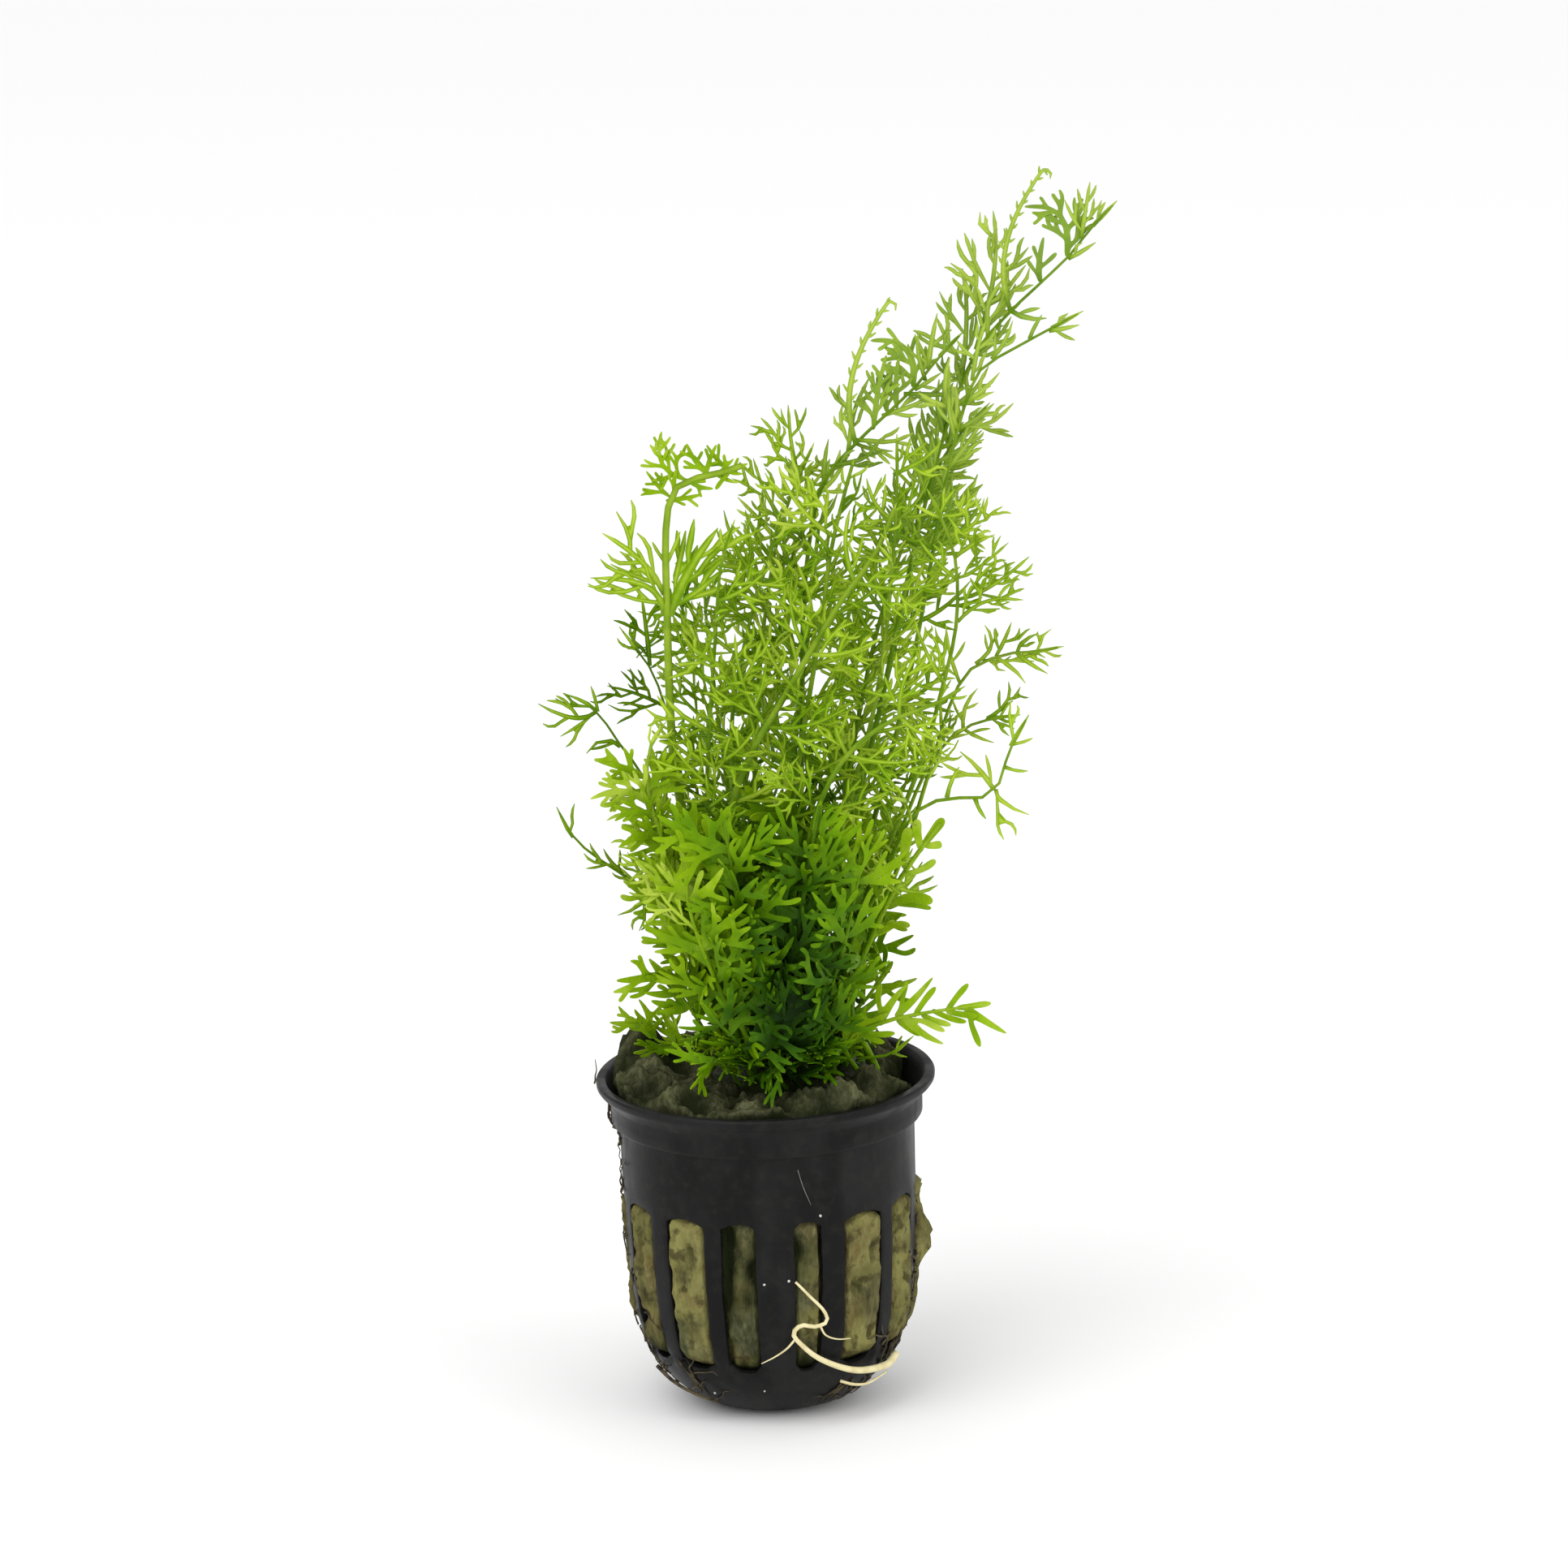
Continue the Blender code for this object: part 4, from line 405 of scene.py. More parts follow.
# painted shade in the bush's core: middle across and up, spread across and up, depth of that shade
CORE_SHADE = (4.2, 70.0, 13.0, 25.0, 1.15)
# tissue colours from dark to bright, and the same for stalks
LEAF_COLOURS = ((0.0, (0.004, 0.015, 0.0004)), (0.25, (0.030, 0.095, 0.001)), (0.5, (0.115, 0.248, 0.001)),
                (0.75, (0.240, 0.400, 0.004)), (1.0, (0.470, 0.590, 0.070)))
STALK_COLOURS = ((0.0, (0.008, 0.028, 0.003)), (0.3, (0.045, 0.110, 0.006)), (0.6, (0.110, 0.220, 0.006)),
                 (0.85, (0.260, 0.385, 0.025)), (1.0, (0.380, 0.490, 0.080)))

# pot: outside from the middle of the foot to the lip, then inside back down
POT_OUTER = ((0.0, 0.0), (9.2, 0.0), (10.0, 0.15), (12.6, 1.1), (15.0, 2.7), (16.9, 4.5), (18.7, 6.8),
             (20.2, 9.6), (21.4, 12.4), (22.4, 16.4), (22.9, 22.0), (23.2, 28.0), (23.4, 35.3),
             (23.4, 38.5), (23.5, 46.0), (23.6, 46.35), (24.6, 46.6), (24.85, 47.0), (24.9, 50.0),
             (25.1, 50.5), (26.6, 51.9), (26.95, 52.4), (27.0, 53.1), (26.75, 53.45))
POT_INNER = ((25.7, 53.5), (25.4, 53.3), (23.9, 50.5), (23.7, 50.1), (22.5, 45.9), (22.35, 38.5),
             (22.3, 35.3), (22.2, 28.0), (21.9, 22.0), (21.4, 16.4), (20.4, 12.4), (19.1, 9.9),
             (17.5, 7.2), (15.8, 5.3), (13.8, 3.6), (11.6, 2.3), (9.3, 1.3), (8.8, 1.2), (0.0, 1.2))
RING_STEP = 2.4                    # height between two rings of the wall, at most
# how far each slot reaches left and right of its middle, in slot pitches, anticlockwise from the front one
SLOT_SIDES = ((0.34, 0.21), (0.20, 0.22), (0.38, 0.34), (0.36, 0.28), (0.30, 0.34), (0.33, 0.30),
              (0.28, 0.33), (0.34, 0.31), (0.30, 0.30), (0.33, 0.27), (0.31, 0.34), (0.29, 0.32),
              (0.34, 0.34), (0.30, 0.38))
SLOT_CUT = 0.25                    # the same for the columns of faces that are cut out, before they are moved
SLOT_WAVES = ((0.024, 0.16, 7.3, 3.1, 1.7), (0.008, 0.7, 3.3, 9.1, 4.2))  # unevenness: depth, rate, offsets
CORNER_TOP, CORNER_FOOT = 0.9, 1.3  # roundness of a slot's corners
EDGE_ROUND = 0.2
SPECKS = ((7.9, -22.2, 36.2, 0.45), (-9.8, -14.2, 4.8, 0.42), (-1.9, -18.1, 6.1, 0.35),
          (2.6, -23.2, 25.9, 0.4), (-1.3, -23.1, 25.4, 0.38))
FIBRE = ((4.6, -23.15, 44.2), (5.4, -22.95, 41.2), (6.5, -22.65, 38.2))

# wool: wetness, and how far it stands out of each slot, in the same order
DAMP_SLOTS = (0.24, 0.26, 0.12, 0.10, 0.3, 0.2, 0.4, 0.1, 0.3, 0.2, 0.4, 0.25, 0.20, 0.0)
WOOL_STAND = (-0.5, -0.4, 0.25, 0.35, 0.6, 0.1, -0.5, 0.2, -0.3, 0.2, -0.4, 0.1, 0.3, 0.25)
GREY_SLOTS = {0: 0.75, 1: 0.55}    # share of grey wool in their upper part
# darker places of the wool in the slots, of which the first three lie over its pits and are painted shade:
# slot, how far off its middle, height, spread across and up, share
DARK_PLACES = ((0, -0.30, 30.0, 0.10, 8.0, 0.8), (0, 0.16, 27.0, 0.08, 2.4, 0.6), (1, -0.16, 31.0, 0.10, 2.4, 0.5),
       (1, 0.10, 22.0, 0.08, 1.6, 0.5), (12, 0.0, 21.0, 0.16, 2.6, 0.6), (12, -0.2, 14.0, 0.10, 2.2, 0.6),
       (2, 0.25, 35.0, 0.10, 1.6, 0.4), (13, 0.2, 30.0, 0.10, 2.0, 0.4))
# lumps that stand out of the slots, and pits: slot, height, how far off its middle, spread, rise
WOOL_BUMPS = ((4, 26.3, 0.0, 1.9, 1.7), (4, 23.2, 0.0, 1.9, 1.8), (4, 33.0, 0.1, 2.5, 1.0),
              (3, 17.5, 0.0, 3.0, 0.8), (12, 27.0, 0.0, 3.0, 0.9), (12, 15.0, 0.0, 4.0, 1.0),
              (13, 13.0, 0.0, 3.0, 0.5), (7, 20.0, 0.0, 3.0, 1.2), (9, 30.0, 0.0, 2.5, 0.9),
              (0, 27.0, 0.18, 1.8, -1.7), (0, 34.0, -0.22, 2.6, -1.8), (0, 29.0, -0.26, 3.0, -2.0),
              (0, 23.5, -0.34, 3.0, -1.6), (1, 31.0, -0.16, 2.6, -1.2), (1, 12.0, 0.0, 2.0, -1.2))
BUMP_WIDE = 0.15                   # their spread across, in slot pitches
WOOL_PROFILE = ((0.0, 1.6), (8.9, 1.6), (13.9, 4.5), (18.8, 10.4), (21.1, 16.8), (21.9, 35.3),
                (22.0, 45.8), (23.2, 49.8), (24.3, 52.0), (24.0, 52.9), (0.0, 52.9))
WOOL_STEP = 0.72                   # between two rings of the wool
# the wool's top: height, where its side begins to follow it, and lumps and hollows as x, y, spread, rise
WOOL_TOP, WOOL_NECK = 52.9, 46.0
WOOL_LUMPS = ((-20.0, 7.5, 4.6, 5.2), (-15.0, 3.0, 4.6, 3.2), (-18.5, -5.0, 4.0, 2.4),
              (-12.0, -14.5, 4.6, 1.8), (5.5, -19.0, 3.6, 2.0), (11.0, -17.5, 3.8, 2.8),
              (16.0, -13.5, 3.8, 3.2), (-2.5, -20.5, 2.4, 1.2), (20.5, 3.0, 6.0, -8.5),
              (0.0, 19.0, 6.0, 1.4), (12.0, 17.0, 5.0, 0.8), (-7.5, -18.0, 2.6, -1.2))
# its drier places: x, y, spread, share
DRY_TOP = ((12.5, -17.5, 5.2, 0.60), (-3.0, -21.0, 2.0, 0.80), (-17.0, -9.0, 3.5, 0.20))
FOLD_SIZE, FOLD_RISE = 7.5, 3.8    # from one fold of the top to the next, and their height

# roots: name, widths, line, branches (width, line), finish
ROOT_FACE = Vector((0.2, -1.0, 0.1))
ROOTS = (
    ("root_front", (1.3, 0.4),
     ((19.2, -9.0, 8.6), (17.4, -12.6, 7.9), (12.5, -17.8, 9.0), (7.1, -21.6, 12.3), (3.7, -23.3, 15.9),
      (3.1, -23.6, 17.5), (4.4, -23.8, 18.7), (6.5, -23.5, 18.3), (8.4, -22.9, 18.9), (7.9, -22.9, 20.8),
      (5.9, -23.3, 23.2), (4.2, -23.5, 25.2), (3.2, -23.4, 26.2)),
     ((0.4, ((3.4, -23.3, 16.4), (1.9, -22.9, 14.6), (-0.1, -22.4, 13.1), (-2.2, -21.8, 11.9))),
      (0.4, ((7.3, -23.2, 18.3), (8.1, -22.4, 16.5), (9.9, -21.0, 15.3), (12.0, -19.7, 14.9)))),
     "root_pale"),
    ("root_curl", (0.5, 0.3),
     ((10.2, -18.2, 7.4), (12.2, -17.7, 6.6), (14.3, -16.1, 6.1), (16.2, -13.7, 6.3), (17.8, -11.4, 6.6)),
     (), "root_pale"),
    ("root_left", (0.7, 0.35),
     ((-18.8, -10.4, 8.4), (-16.3, -13.1, 6.6), (-12.9, -15.0, 5.0), (-8.9, -14.8, 3.3)),
     (), "root_brown"),
)
# thin dark rootlets on the pot: degrees from the front, height, spread, how many, length of a step
TANGLES = ((-44, 7.5, 1.8, 8, 1.0), (-75, 11.0, 3.0, 16, 1.1), (38, 5.2, 1.6, 6, 1.1),
           (62, 8.0, 2.4, 20, 1.2), (88, 20.0, 5.0, 24, 1.1), (-88, 47.0, 2.4, 14, 0.9),
           (-93, 30.0, 6.0, 24, 0.9), (170, 8.0, 3.4, 14, 1.4), (120, 14.0, 5.0, 16, 1.3),
           (-140, 12.0, 4.0, 20, 1.3))
TANGLE_STEPS, TANGLE_FOOT = 6, 1.2  # steps of a rootlet, and the lowest it goes

# masks of patches: scale per metre, low and high end, and where they aren't the usual ones detail, stretch
GRAINS = {
    "tissue": (260.0, 0.3, 0.7), "gloss": (700.0, 0.3, 0.7), "cells": (1800.0, 0.3, 0.7),
    # the first mask below is the pot's vertical streaks of painted reflection
    "roughness_and_reflection_streaks": (150.0, 0.40, 0.70, 3.0, (1.0, 1.0, 0.4)), "film": (520.0, 0.45, 0.8, 6.0),
    "moulding": (2400.0, 0.2, 0.8, 2.0), "patches": (170.0, 0.36, 0.64, 4.0),
    "dirt": (420.0, 0.50, 0.66, 5.0), "fibre": (1500.0, 0.30, 0.72, 3.0, (1.0, 1.0, 0.35)),
    "spots": (500.0, 0.4, 0.7, 4.0), "skin": (2600.0, 0.3, 0.7),
}
# leaves: lift of the tone, haze of the high blades, slot
LEAF_LOOKS = {
    "leaf_bright": (0.02, 0.0, "leaf_bright"),
    "leaf_green": (0.0, 0.0, "leaf_green"),
    "leaf_dark": (-0.04, 0.0, "leaf_dark"),
    "leaf_plume": (0.08, 0.32, "leaf_green"),
}
HAZE = (0.34, 0.43, 0.11)          # colour of that haze
HAZE_LOW, HAZE_HIGH = 0.13, 0.16   # heights in metres between which it begins
# spotted finishes: colour, colour of the spots, their share, slot
SPOTTED_LOOKS = {
    "root_pale": ((0.80, 0.72, 0.42), (0.55, 0.44, 0.20), 0.5, "root_pale"),
    "root_brown": ((0.09, 0.07, 0.035), (0.015, 0.012, 0.008), 0.95, "root_brown"),
    "rootstock": ((0.022, 0.030, 0.007), (0.006, 0.008, 0.003), 0.9, "crown"),
    "pale_grain": ((0.62, 0.62, 0.58), (0.35, 0.35, 0.32), 0.5, "rock_wool"),
    "grey_fibre": ((0.20, 0.20, 0.20), (0.06, 0.06, 0.06), 0.5, "rock_wool"),
}
# the pale one is the colour of the painted reflection streaks
PLASTIC = ((0.006, 0.006, 0.006), (0.014, 0.014, 0.014))  # dark and pale
PLASTIC_FILM = (0.040, 0.038, 0.028)
WOOL = ((0.135, 0.105, 0.036), (0.205, 0.195, 0.062))
# the last of these is the colour of dampened wool and of painted shade in its recesses and creases
WOOL_FIBRE, WOOL_DIRT, WOOL_WET_AND_SHADE = (0.30, 0.28, 0.11), (0.042, 0.034, 0.014), (0.014, 0.018, 0.006)
WOOL_GREY = ((0.044, 0.050, 0.025), (0.135, 0.140, 0.082))

# setting
FLOOR_SIZE, FLOOR = 6.0, (0.93, 0.93, 0.93)
ELEVATION = 15.5                   # degrees that the camera looks down
ROLL = 2.0                         # degrees, with the right side of the rim higher
CAMERA_PLACE = (0.00457, -1.915039, 0.632047)
FOCAL, SENSOR, VIEW_END = 288.447, 36.0, 20.0
WORLD_LIGHT = 0.9
# name, place, size, power; all of them point at the same place
LIGHTS = (("key", (-0.8, -1.0, 1.6), 1.8, 16.0), ("fill", (1.2, -0.8, 0.7), 1.4, 6.0))
LIT = Vector((0.0, 0.0, 0.1))


def between(ends, share):
    """The value at a share of the way from one end to the other."""
    return ends[0] + (ends[1] - ends[0]) * share


def clamped(value):
    return min(1.0, max(0.0, value))


def shares(count):
    """Even shares from 0 to 1."""
    return [k / count for k in range(count + 1)]


def turned(normal, axis, angle):
    return Matrix.Rotation(angle, 3, axis) @ normal


def crown_height(x, y):
    """Height of the rootstock's dome."""
    return CROWN_TOP - CROWN_FALL * ((x - CROWN[0]) ** 2 + ((y - CROWN[1]) / CROWN_DEEP) ** 2)


class Path:
    """A smooth line through points, read by its share of the length."""

    def __init__(self, points, steps=8):
        ring = [Vector(p) for p in points]
        ring = [ring[0] * 2 - ring[1]] + ring + [ring[-1] * 2 - ring[-2]]
        self.line = []
        for a, b, c, d in zip(ring, ring[1:], ring[2:], ring[3:]):
            for k in range(steps):
                t = k / steps
                bend = (2 * a - 5 * b + 4 * c - d) * t * t + (3 * b - a - 3 * c + d) * t ** 3
                self.line.append(0.5 * (2 * b + (c - a) * t + bend))
        self.line.append(ring[-2])
        self.run = [0.0]
        for a, b in zip(self.line, self.line[1:]):
            self.run.append(self.run[-1] + (b - a).length)
        self.length = self.run[-1]

    def at(self, t):
        want = clamped(t) * self.length
        i = min(max(bisect.bisect_right(self.run, want) - 1, 0), len(self.run) - 2)
        gap = self.run[i + 1] - self.run[i]
        return self.line[i].lerp(self.line[i + 1], (want - self.run[i]) / gap)

    def way(self, t, reach=0.02):
        return (self.at(t + reach) - self.at(t - reach)).normalized()


def frame_at(path, t, face):
    """Direction along the blade, direction across it, and the blade's face."""
    along = path.way(t)
    normal = (face - along * face.dot(along)).normalized()
    return along, along.cross(normal), normal


class Room:
    """Points already used by fronds, so that no blade crosses another."""

    def __init__(self):
        self.cells = {}

    def key(self, p):
        return tuple(int(value // REACH) for value in p)

    def add(self, points, tag):
        for p in points:
            self.cells.setdefault(self.key(p), []).append((p, tag))

    def free(self, points, tag, near, spare):
        """Whether points are clear of other blades, but for the own stalk within a distance of a place."""
        for p in points:
            i, j, k = self.key(p)
            for a, b, c in NEIGHBOURS:
                for q, other in self.cells.get((i + a, j + b, k + c), ()):
                    if other == tag or (q - p).length > REACH:
                        continue
                    if other[0] == tag[0] and other[1] < 0 and (p - near).length < spare:
                        continue
                    return False
        return True


def straightened(line):
    """The line as its few straight steps, as the solid has it."""
    knots = [line.at(t) for t in (LONG_STOPS if line.length > LONG else SHORT_STOPS)]
    points = []
    for a, b in zip(knots, knots[1:]):
        points += [a.lerp(b, k / 4) for k in range(4)]
    return Path(points + [knots[-1]], 1)


def strip_points(path, face, widths, start, least=0.45):
    """Points along a ribbon, and on its borders where it is wide."""
    count = max(2, int(path.length / POINT_STEP))
    points = []
    for i in range(count + 1):
        t = start + (1 - start) * i / count
        half = between(widths, t) / 2
        across = frame_at(path, t, face)[1]
        p = path.at(t)
        points.append(p)
        if half > least:
            points += [p + across * half, p - across * half]
    return points


def lobe_points(a, b, tip, least=0.4, inset=0.9):
    """Points of a pointed lobe on the border from a to b."""
    middle = (a + b) / 2
    half = (b - a) / 2
    count = max(2, int((tip - middle).length / POINT_STEP))
    points = []
    for u in shares(count)[1:]:
        p = middle.lerp(tip, u)
        points.append(p)
        if (1 - u) * half.length > least:
            side = half * (1 - u) * inset
            points += [p + side, p - side]
    return points


def pinna_path(foot, via, tip, along, sag=-0.06):
    """A curve from a foot to a tip, through a point passed on the way."""
    if via is None:
        via = foot.lerp(tip, 0.5) + along * (tip - foot).length * sag
    control = via * 2 - (foot + tip) / 2
    return Path([foot * (1 - t) ** 2 + control * 2 * t * (1 - t) + tip * t * t for t in shares(6)], 2)


def spread_stalks():
    """The stalk lines, with those that pass too near each other moved apart."""
    drawn = [[Vector(p) for p in frond[5]] for frond in FRONDS]
    moved = [[p.copy() for p in line] for line in drawn]
    for _ in range(STALK_TURNS):
        runs = []
        for line in moved:
            path = Path(line, 6)
            runs.append(np.array([path.at(t) for t in shares(int(path.length))]))
        clear = True
        for i, j in itertools.combinations(range(len(moved)), 2):
            one, two = runs[i], runs[j]
            beside = np.maximum(one.min(axis=0) - two.max(axis=0), two.min(axis=0) - one.max(axis=0))
            if beside.max() > STALK_BESIDE:
                continue
            apart = np.linalg.norm(one[:, None] - two[None], axis=2)
            a, b = np.unravel_index(np.argmin(apart), apart.shape)
            thick_one = between(FRONDS[i][1], a / (len(one) - 1))
            thick_two = between(FRONDS[j][1], b / (len(two) - 1))
            short = thick_one / 2 + thick_two / 2 + STALK_GAP - apart[a, b]
            if short <= 0:
                continue
            clear = False
            way = Vector(one[a]) - Vector(two[b])
            way = Vector((way.x * 0.6, way.y if abs(way.y) > 1e-3 else 1e-3, 0)).normalized()
            for which, spot, sign in ((i, Vector(one[a]), 0.5), (j, Vector(two[b]), -0.5)):
                line, first = moved[which], drawn[which]
                for k in sorted(range(len(line)), key=lambda n: (line[n] - spot).length)[:2]:
                    line[k] += way * (short * 0.5 + 0.05) * sign
                    off = line[k] - first[k]
                    if off.length > STALK_SHIFT:
                        line[k] = first[k] + off * (STALK_SHIFT / off.length)
                    if k == 0:
                        line[k].z = crown_height(line[k].x, line[k].y) + 0.6
        if clear:
            break
    return moved


def wanted_pinnae(drawn, fill, path, face, chance):
    """A frond's pinnae as (share of the stalk, tip, point on the way, whether it keeps its length)."""
    wanted = [(t, Vector(tip), Vector(via[0]) if via else None, True) for t, tip, *via in drawn]
    if fill:
        first, last, pairs, length, angle = fill
        for i in range(pairs):
            t = first + (last - first) * (i + 0.5) / pairs
            along, across, normal = frame_at(path, t, face)
            for side in (1, -1):
                tilt = math.radians(angle + chance.uniform(-8, 8))
                size = length * (0.62 + 0.38 * math.sin(math.pi * (0.25 + 0.6 * (i + 0.5) / pairs)))
                size *= chance.uniform(0.85, 1.1)
                lean = normal * chance.uniform(-0.25, 0.35)
                way = (along * math.cos(tilt) + across * side * math.sin(tilt) + lean).normalized()
                early = (way + across * side * 0.35).normalized()
                start = path.at(t)
                wanted.append((t, start + way * size, start + early * size * 0.5, False))
    return sorted(wanted, key=lambda item: item[0])


def joints_of(wanted, path, face):
    """Where pinnae leave the stalk: share, and the pinna of each side."""
    joints = []
    half = FOOT / path.length
    latest = {1: -1.0, -1: -1.0}
    for t, *pinna in wanted:
        across = frame_at(path, t, face)[1]
        side = 1 if (pinna[0] - path.at(t)).dot(across) > 0 else -1
        t = max(t, latest[side] + SAME_SIDE / path.length)
        latest[side] = t
        if joints and side not in joints[-1][1] and (t - joints[-1][0]) < FACING / path.length:
            joints[-1][1][side] = pinna
            continue
        if joints:
            t = max(t, joints[-1][0] + half * 2.3)
        if t < 1 - half * 2.2:
            joints.append((t, {side: pinna}))
    return joints


def placed_pinna(room, pinna, foot, along, normal, lobe, tag):
    """A pinna's line, lifted or shortened until it is clear of the others."""
    tip, via, firm = pinna
    for trial, rise in enumerate(LIFTS):
        shrink = 1.0 - 0.14 * (trial // 2) * (0 if firm else 1)
        lift = normal * rise
        goal = foot + (tip - foot) * shrink + lift
        bend = foot + (via - foot) * shrink + lift * 0.5 if via else None
        line = pinna_path(foot, bend, goal, along)
        points = strip_points(straightened(line), normal, (1.3 * lobe, 0.6), 1.4 / line.length)
        if room.free(points, tag, foot, 3.2):
            room.add(points, tag)
            return line
    return None


def placed_lobes(room, line, normal, tag, chance):
    """A pinna's lobes that are clear of the others, as (pair, side, tip)."""
    lobes = []
    for step, (a, b, reach) in enumerate(LONG_LOBES if line.length > LONG else SHORT_LOBES):
        for hand in (1, -1):
            along, across, up = frame_at(line, (a + b) / 2, normal)
            aside = across * hand * RIBBON
            tilt = math.radians(chance.uniform(*LOBE_TILT))
            size = max(LOBE_SIZE[0], min(LOBE_SIZE[1], line.length * reach * chance.uniform(0.85, 1.15)))
            way = along * math.cos(tilt) + across * hand * math.sin(tilt)
            for cut in (1.0, 0.7):
                tip = line.at((a + b) / 2) + aside + way * size * cut + up * chance.uniform(-0.5, 0.5)
                points = lobe_points(line.at(a) + aside, line.at(b) + aside, tip)
                if room.free(points, tag, line.at(0), 2.0):
                    room.add(points, tag)
                    lobes.append((step, hand, tip))
                    break
    return lobes


class Plan(typing.NamedTuple):
    """A frond's plan: its stalk and its pinnae, each as (share of the stalk, line, normal, lobes)."""
    name: str
    widths: tuple
    face: Vector
    lobe: float
    tone: float
    path: Path
    pinnae: list


def plan_fronds():
    """The growth plan: each frond's stalk line, its pinnae and their lobes."""
    room = Room()
    plans = []
    for number, (frond, stalk) in enumerate(zip(FRONDS, spread_stalks())):
        name, widths, face, lobe, tone = frond[:5]
        plan = Plan(name, widths, Vector(face).normalized(), lobe, tone, Path(stalk), [])
        room.add(strip_points(plan.path, plan.face, widths, STALK_FOOT / plan.path.length), (number, -1))
        plans.append(plan)
    for number, (plan, (drawn, fill)) in enumerate(zip(plans, [frond[6:] for frond in FRONDS])):
        chance = random.Random(number + 11)
        path, face = plan.path, plan.face
        kept = []
        joints = joints_of(wanted_pinnae(drawn, fill, path, face, chance), path, face)
        for order, (t, sides) in enumerate(joints):
            along, across, normal = frame_at(path, t, face)
            for side in sorted(sides):
                foot = path.at(t) + across * side * between(plan.widths, t) / 2
                tag = (number, order * 2 + (side > 0))
                line = placed_pinna(room, sides[side], foot, along, normal, plan.lobe, tag)
                if line:
                    kept.append((t, line, normal, tag))
        for t, line, normal, tag in kept:
            plan.pinnae.append((t, line, normal, placed_lobes(room, line, normal, tag, chance)))
    return plans


# leaves and their tissue


class Habit(typing.NamedTuple):
    """How a leaf divides: lengths in millimetres, angles in radians."""
    ribbon: float                  # width of a pinna's ribbon
    bud: float                     # length of ribbon that carries a pinnule
    gap: float                     # and between two pinnules
    reach: float                   # longest pinnule, as a share of the pinna
    segment: float                 # width of the last segments
    step: float                    # between two segments
    forks: int                     # most segments on a pinnule
    tip: float                     # width of a segment's end, as a share
    tilt: tuple                    # angle of a pinnule, least and most
    bend: tuple                    # share of that angle that it bends back by
    bow: float                     # how far leaves turn out of their plane
    broad: bool                    # rounded lobes with webs between them

    def sized(self, k):
        """The same habit at another size."""
        return self._replace(ribbon=self.ribbon * k, bud=self.bud * k, gap=self.gap * k,
                             segment=self.segment * k, step=self.step * k)


FINE = Habit(0.75, 0.50, 1.15, 0.62, 0.48, 1.35, 3, 0.12, (0.55, 1.15), (0.3, 1.3), 0.80, False)
PLUME = Habit(0.90, 0.60, 1.30, 0.42, 0.60, 1.50, 2, 0.15, (0.35, 0.80), (0.3, 1.3), 0.45, False)
PALMATE = Habit(1.00, 0.80, 1.10, 0.72, 0.58, 2.00, 2, 0.18, (0.45, 0.95), (0.3, 1.1), 0.35, False)
BROAD = Habit(1.50, 1.10, 0.60, 0.60, 0.84, 1.60, 2, 0.42, (0.50, 1.05), (0.1, 1.3), 0.34, True)
WEBBED = Habit(2.20, 1.35, 0.40, 0.48, 1.10, 1.60, 2, 0.40, (0.60, 1.10), (0.0, 1.0), 0.22, True)
SCALLOPED = Habit(1.00, 0.70, 0.40, 0.34, 0.62, 0.95, 2, 0.50, (0.50, 1.10), (0.0, 0.7), 0.35, True)
STRAP = Habit(1.40, 1.10, 9.00, 0.60, 1.80, 8.00, 1, 0.62, (0.40, 0.80), (0.2, 0.9), 0.25, True)
SLENDER = Habit(1.30, 1.00, 1.50, 0.60, 0.95, 2.20, 1, 0.38, (0.40, 0.85), (0.2, 1.0), 0.25, True)
FAN = Habit(1.60, 1.00, 0.60, 0.85, 0.80, 1.90, 2, 0.20, (0.35, 0.80), (0.4, 1.1), 0.30, False)
CROZIER = Habit(0.95, 0.60, 0.50, 0.03, 0.45, 0.55, 0, 0.30, (0.60, 1.20), (0.2, 0.8), 0.60, False)
# fronds that don't divide as their lobe size says, and single pinnae, found by their tips
OWN_HABIT = {
    "plume_main": PLUME, "plume_side": PLUME, "second_main": PLUME, "second_side": PLUME,
    "tall_left": PALMATE, "left_thin": PALMATE.sized(0.75), "left_spray": PALMATE.sized(0.8),
    "left_droop": PALMATE.sized(0.8), "right_arch": PALMATE.sized(0.95),
    "low_right": STRAP, "low_right_long": SLENDER.sized(1.1), "low_right_fan": SLENDER,
    "left_broad": WEBBED.sized(0.65), "low_left": WEBBED.sized(0.9), "low_left_fan": WEBBED.sized(0.85),
    "low_left_tip": WEBBED.sized(0.6), "front_hem_left": WEBBED.sized(0.6),
    "front_hem_right": WEBBED.sized(0.6),
}
OWN_PINNA = {
    "plume_main": (((48.1, 1, 198.4), CROZIER), ((45.3, 2, 192.2), SCALLOPED), ((48.1, 0, 188.2), SCALLOPED)),
    "second_main": (((23.3, -1, 178.6), CROZIER), ((20.5, 0, 172.5), SCALLOPED),
                    ((23.4, -2, 168.4), SCALLOPED)),
    "tall_left": (((2.5, -12, 147.3), FAN), ((-5, -10, 145.1), FAN)),
    "left_broad": (((-13.4, -14, 115.8), PALMATE.sized(0.6)),),
}
OWN_REACH = 3.5                    # how far from such a tip a pinna may end
CURLED_END = 0.82                  # share of the tall left stalk from which its blade is scalloped
LOBED = 1.15                       # fronds with a wider lobe than this are broad


def habit_of(plan, t, tip):
    """How the pinna at a share of a frond's stalk divides."""
    for place, habit in OWN_PINNA.get(plan.name, ()):
        if (Vector(place) - tip).length < OWN_REACH:
            return habit
    if plan.name == "tall_left" and t > CURLED_END:
        return SCALLOPED.sized(0.9)
    if plan.name in OWN_HABIT:
        return OWN_HABIT[plan.name]
    return BROAD.sized(plan.lobe / 1.35) if plan.lobe > LOBED else FINE.sized(plan.lobe)


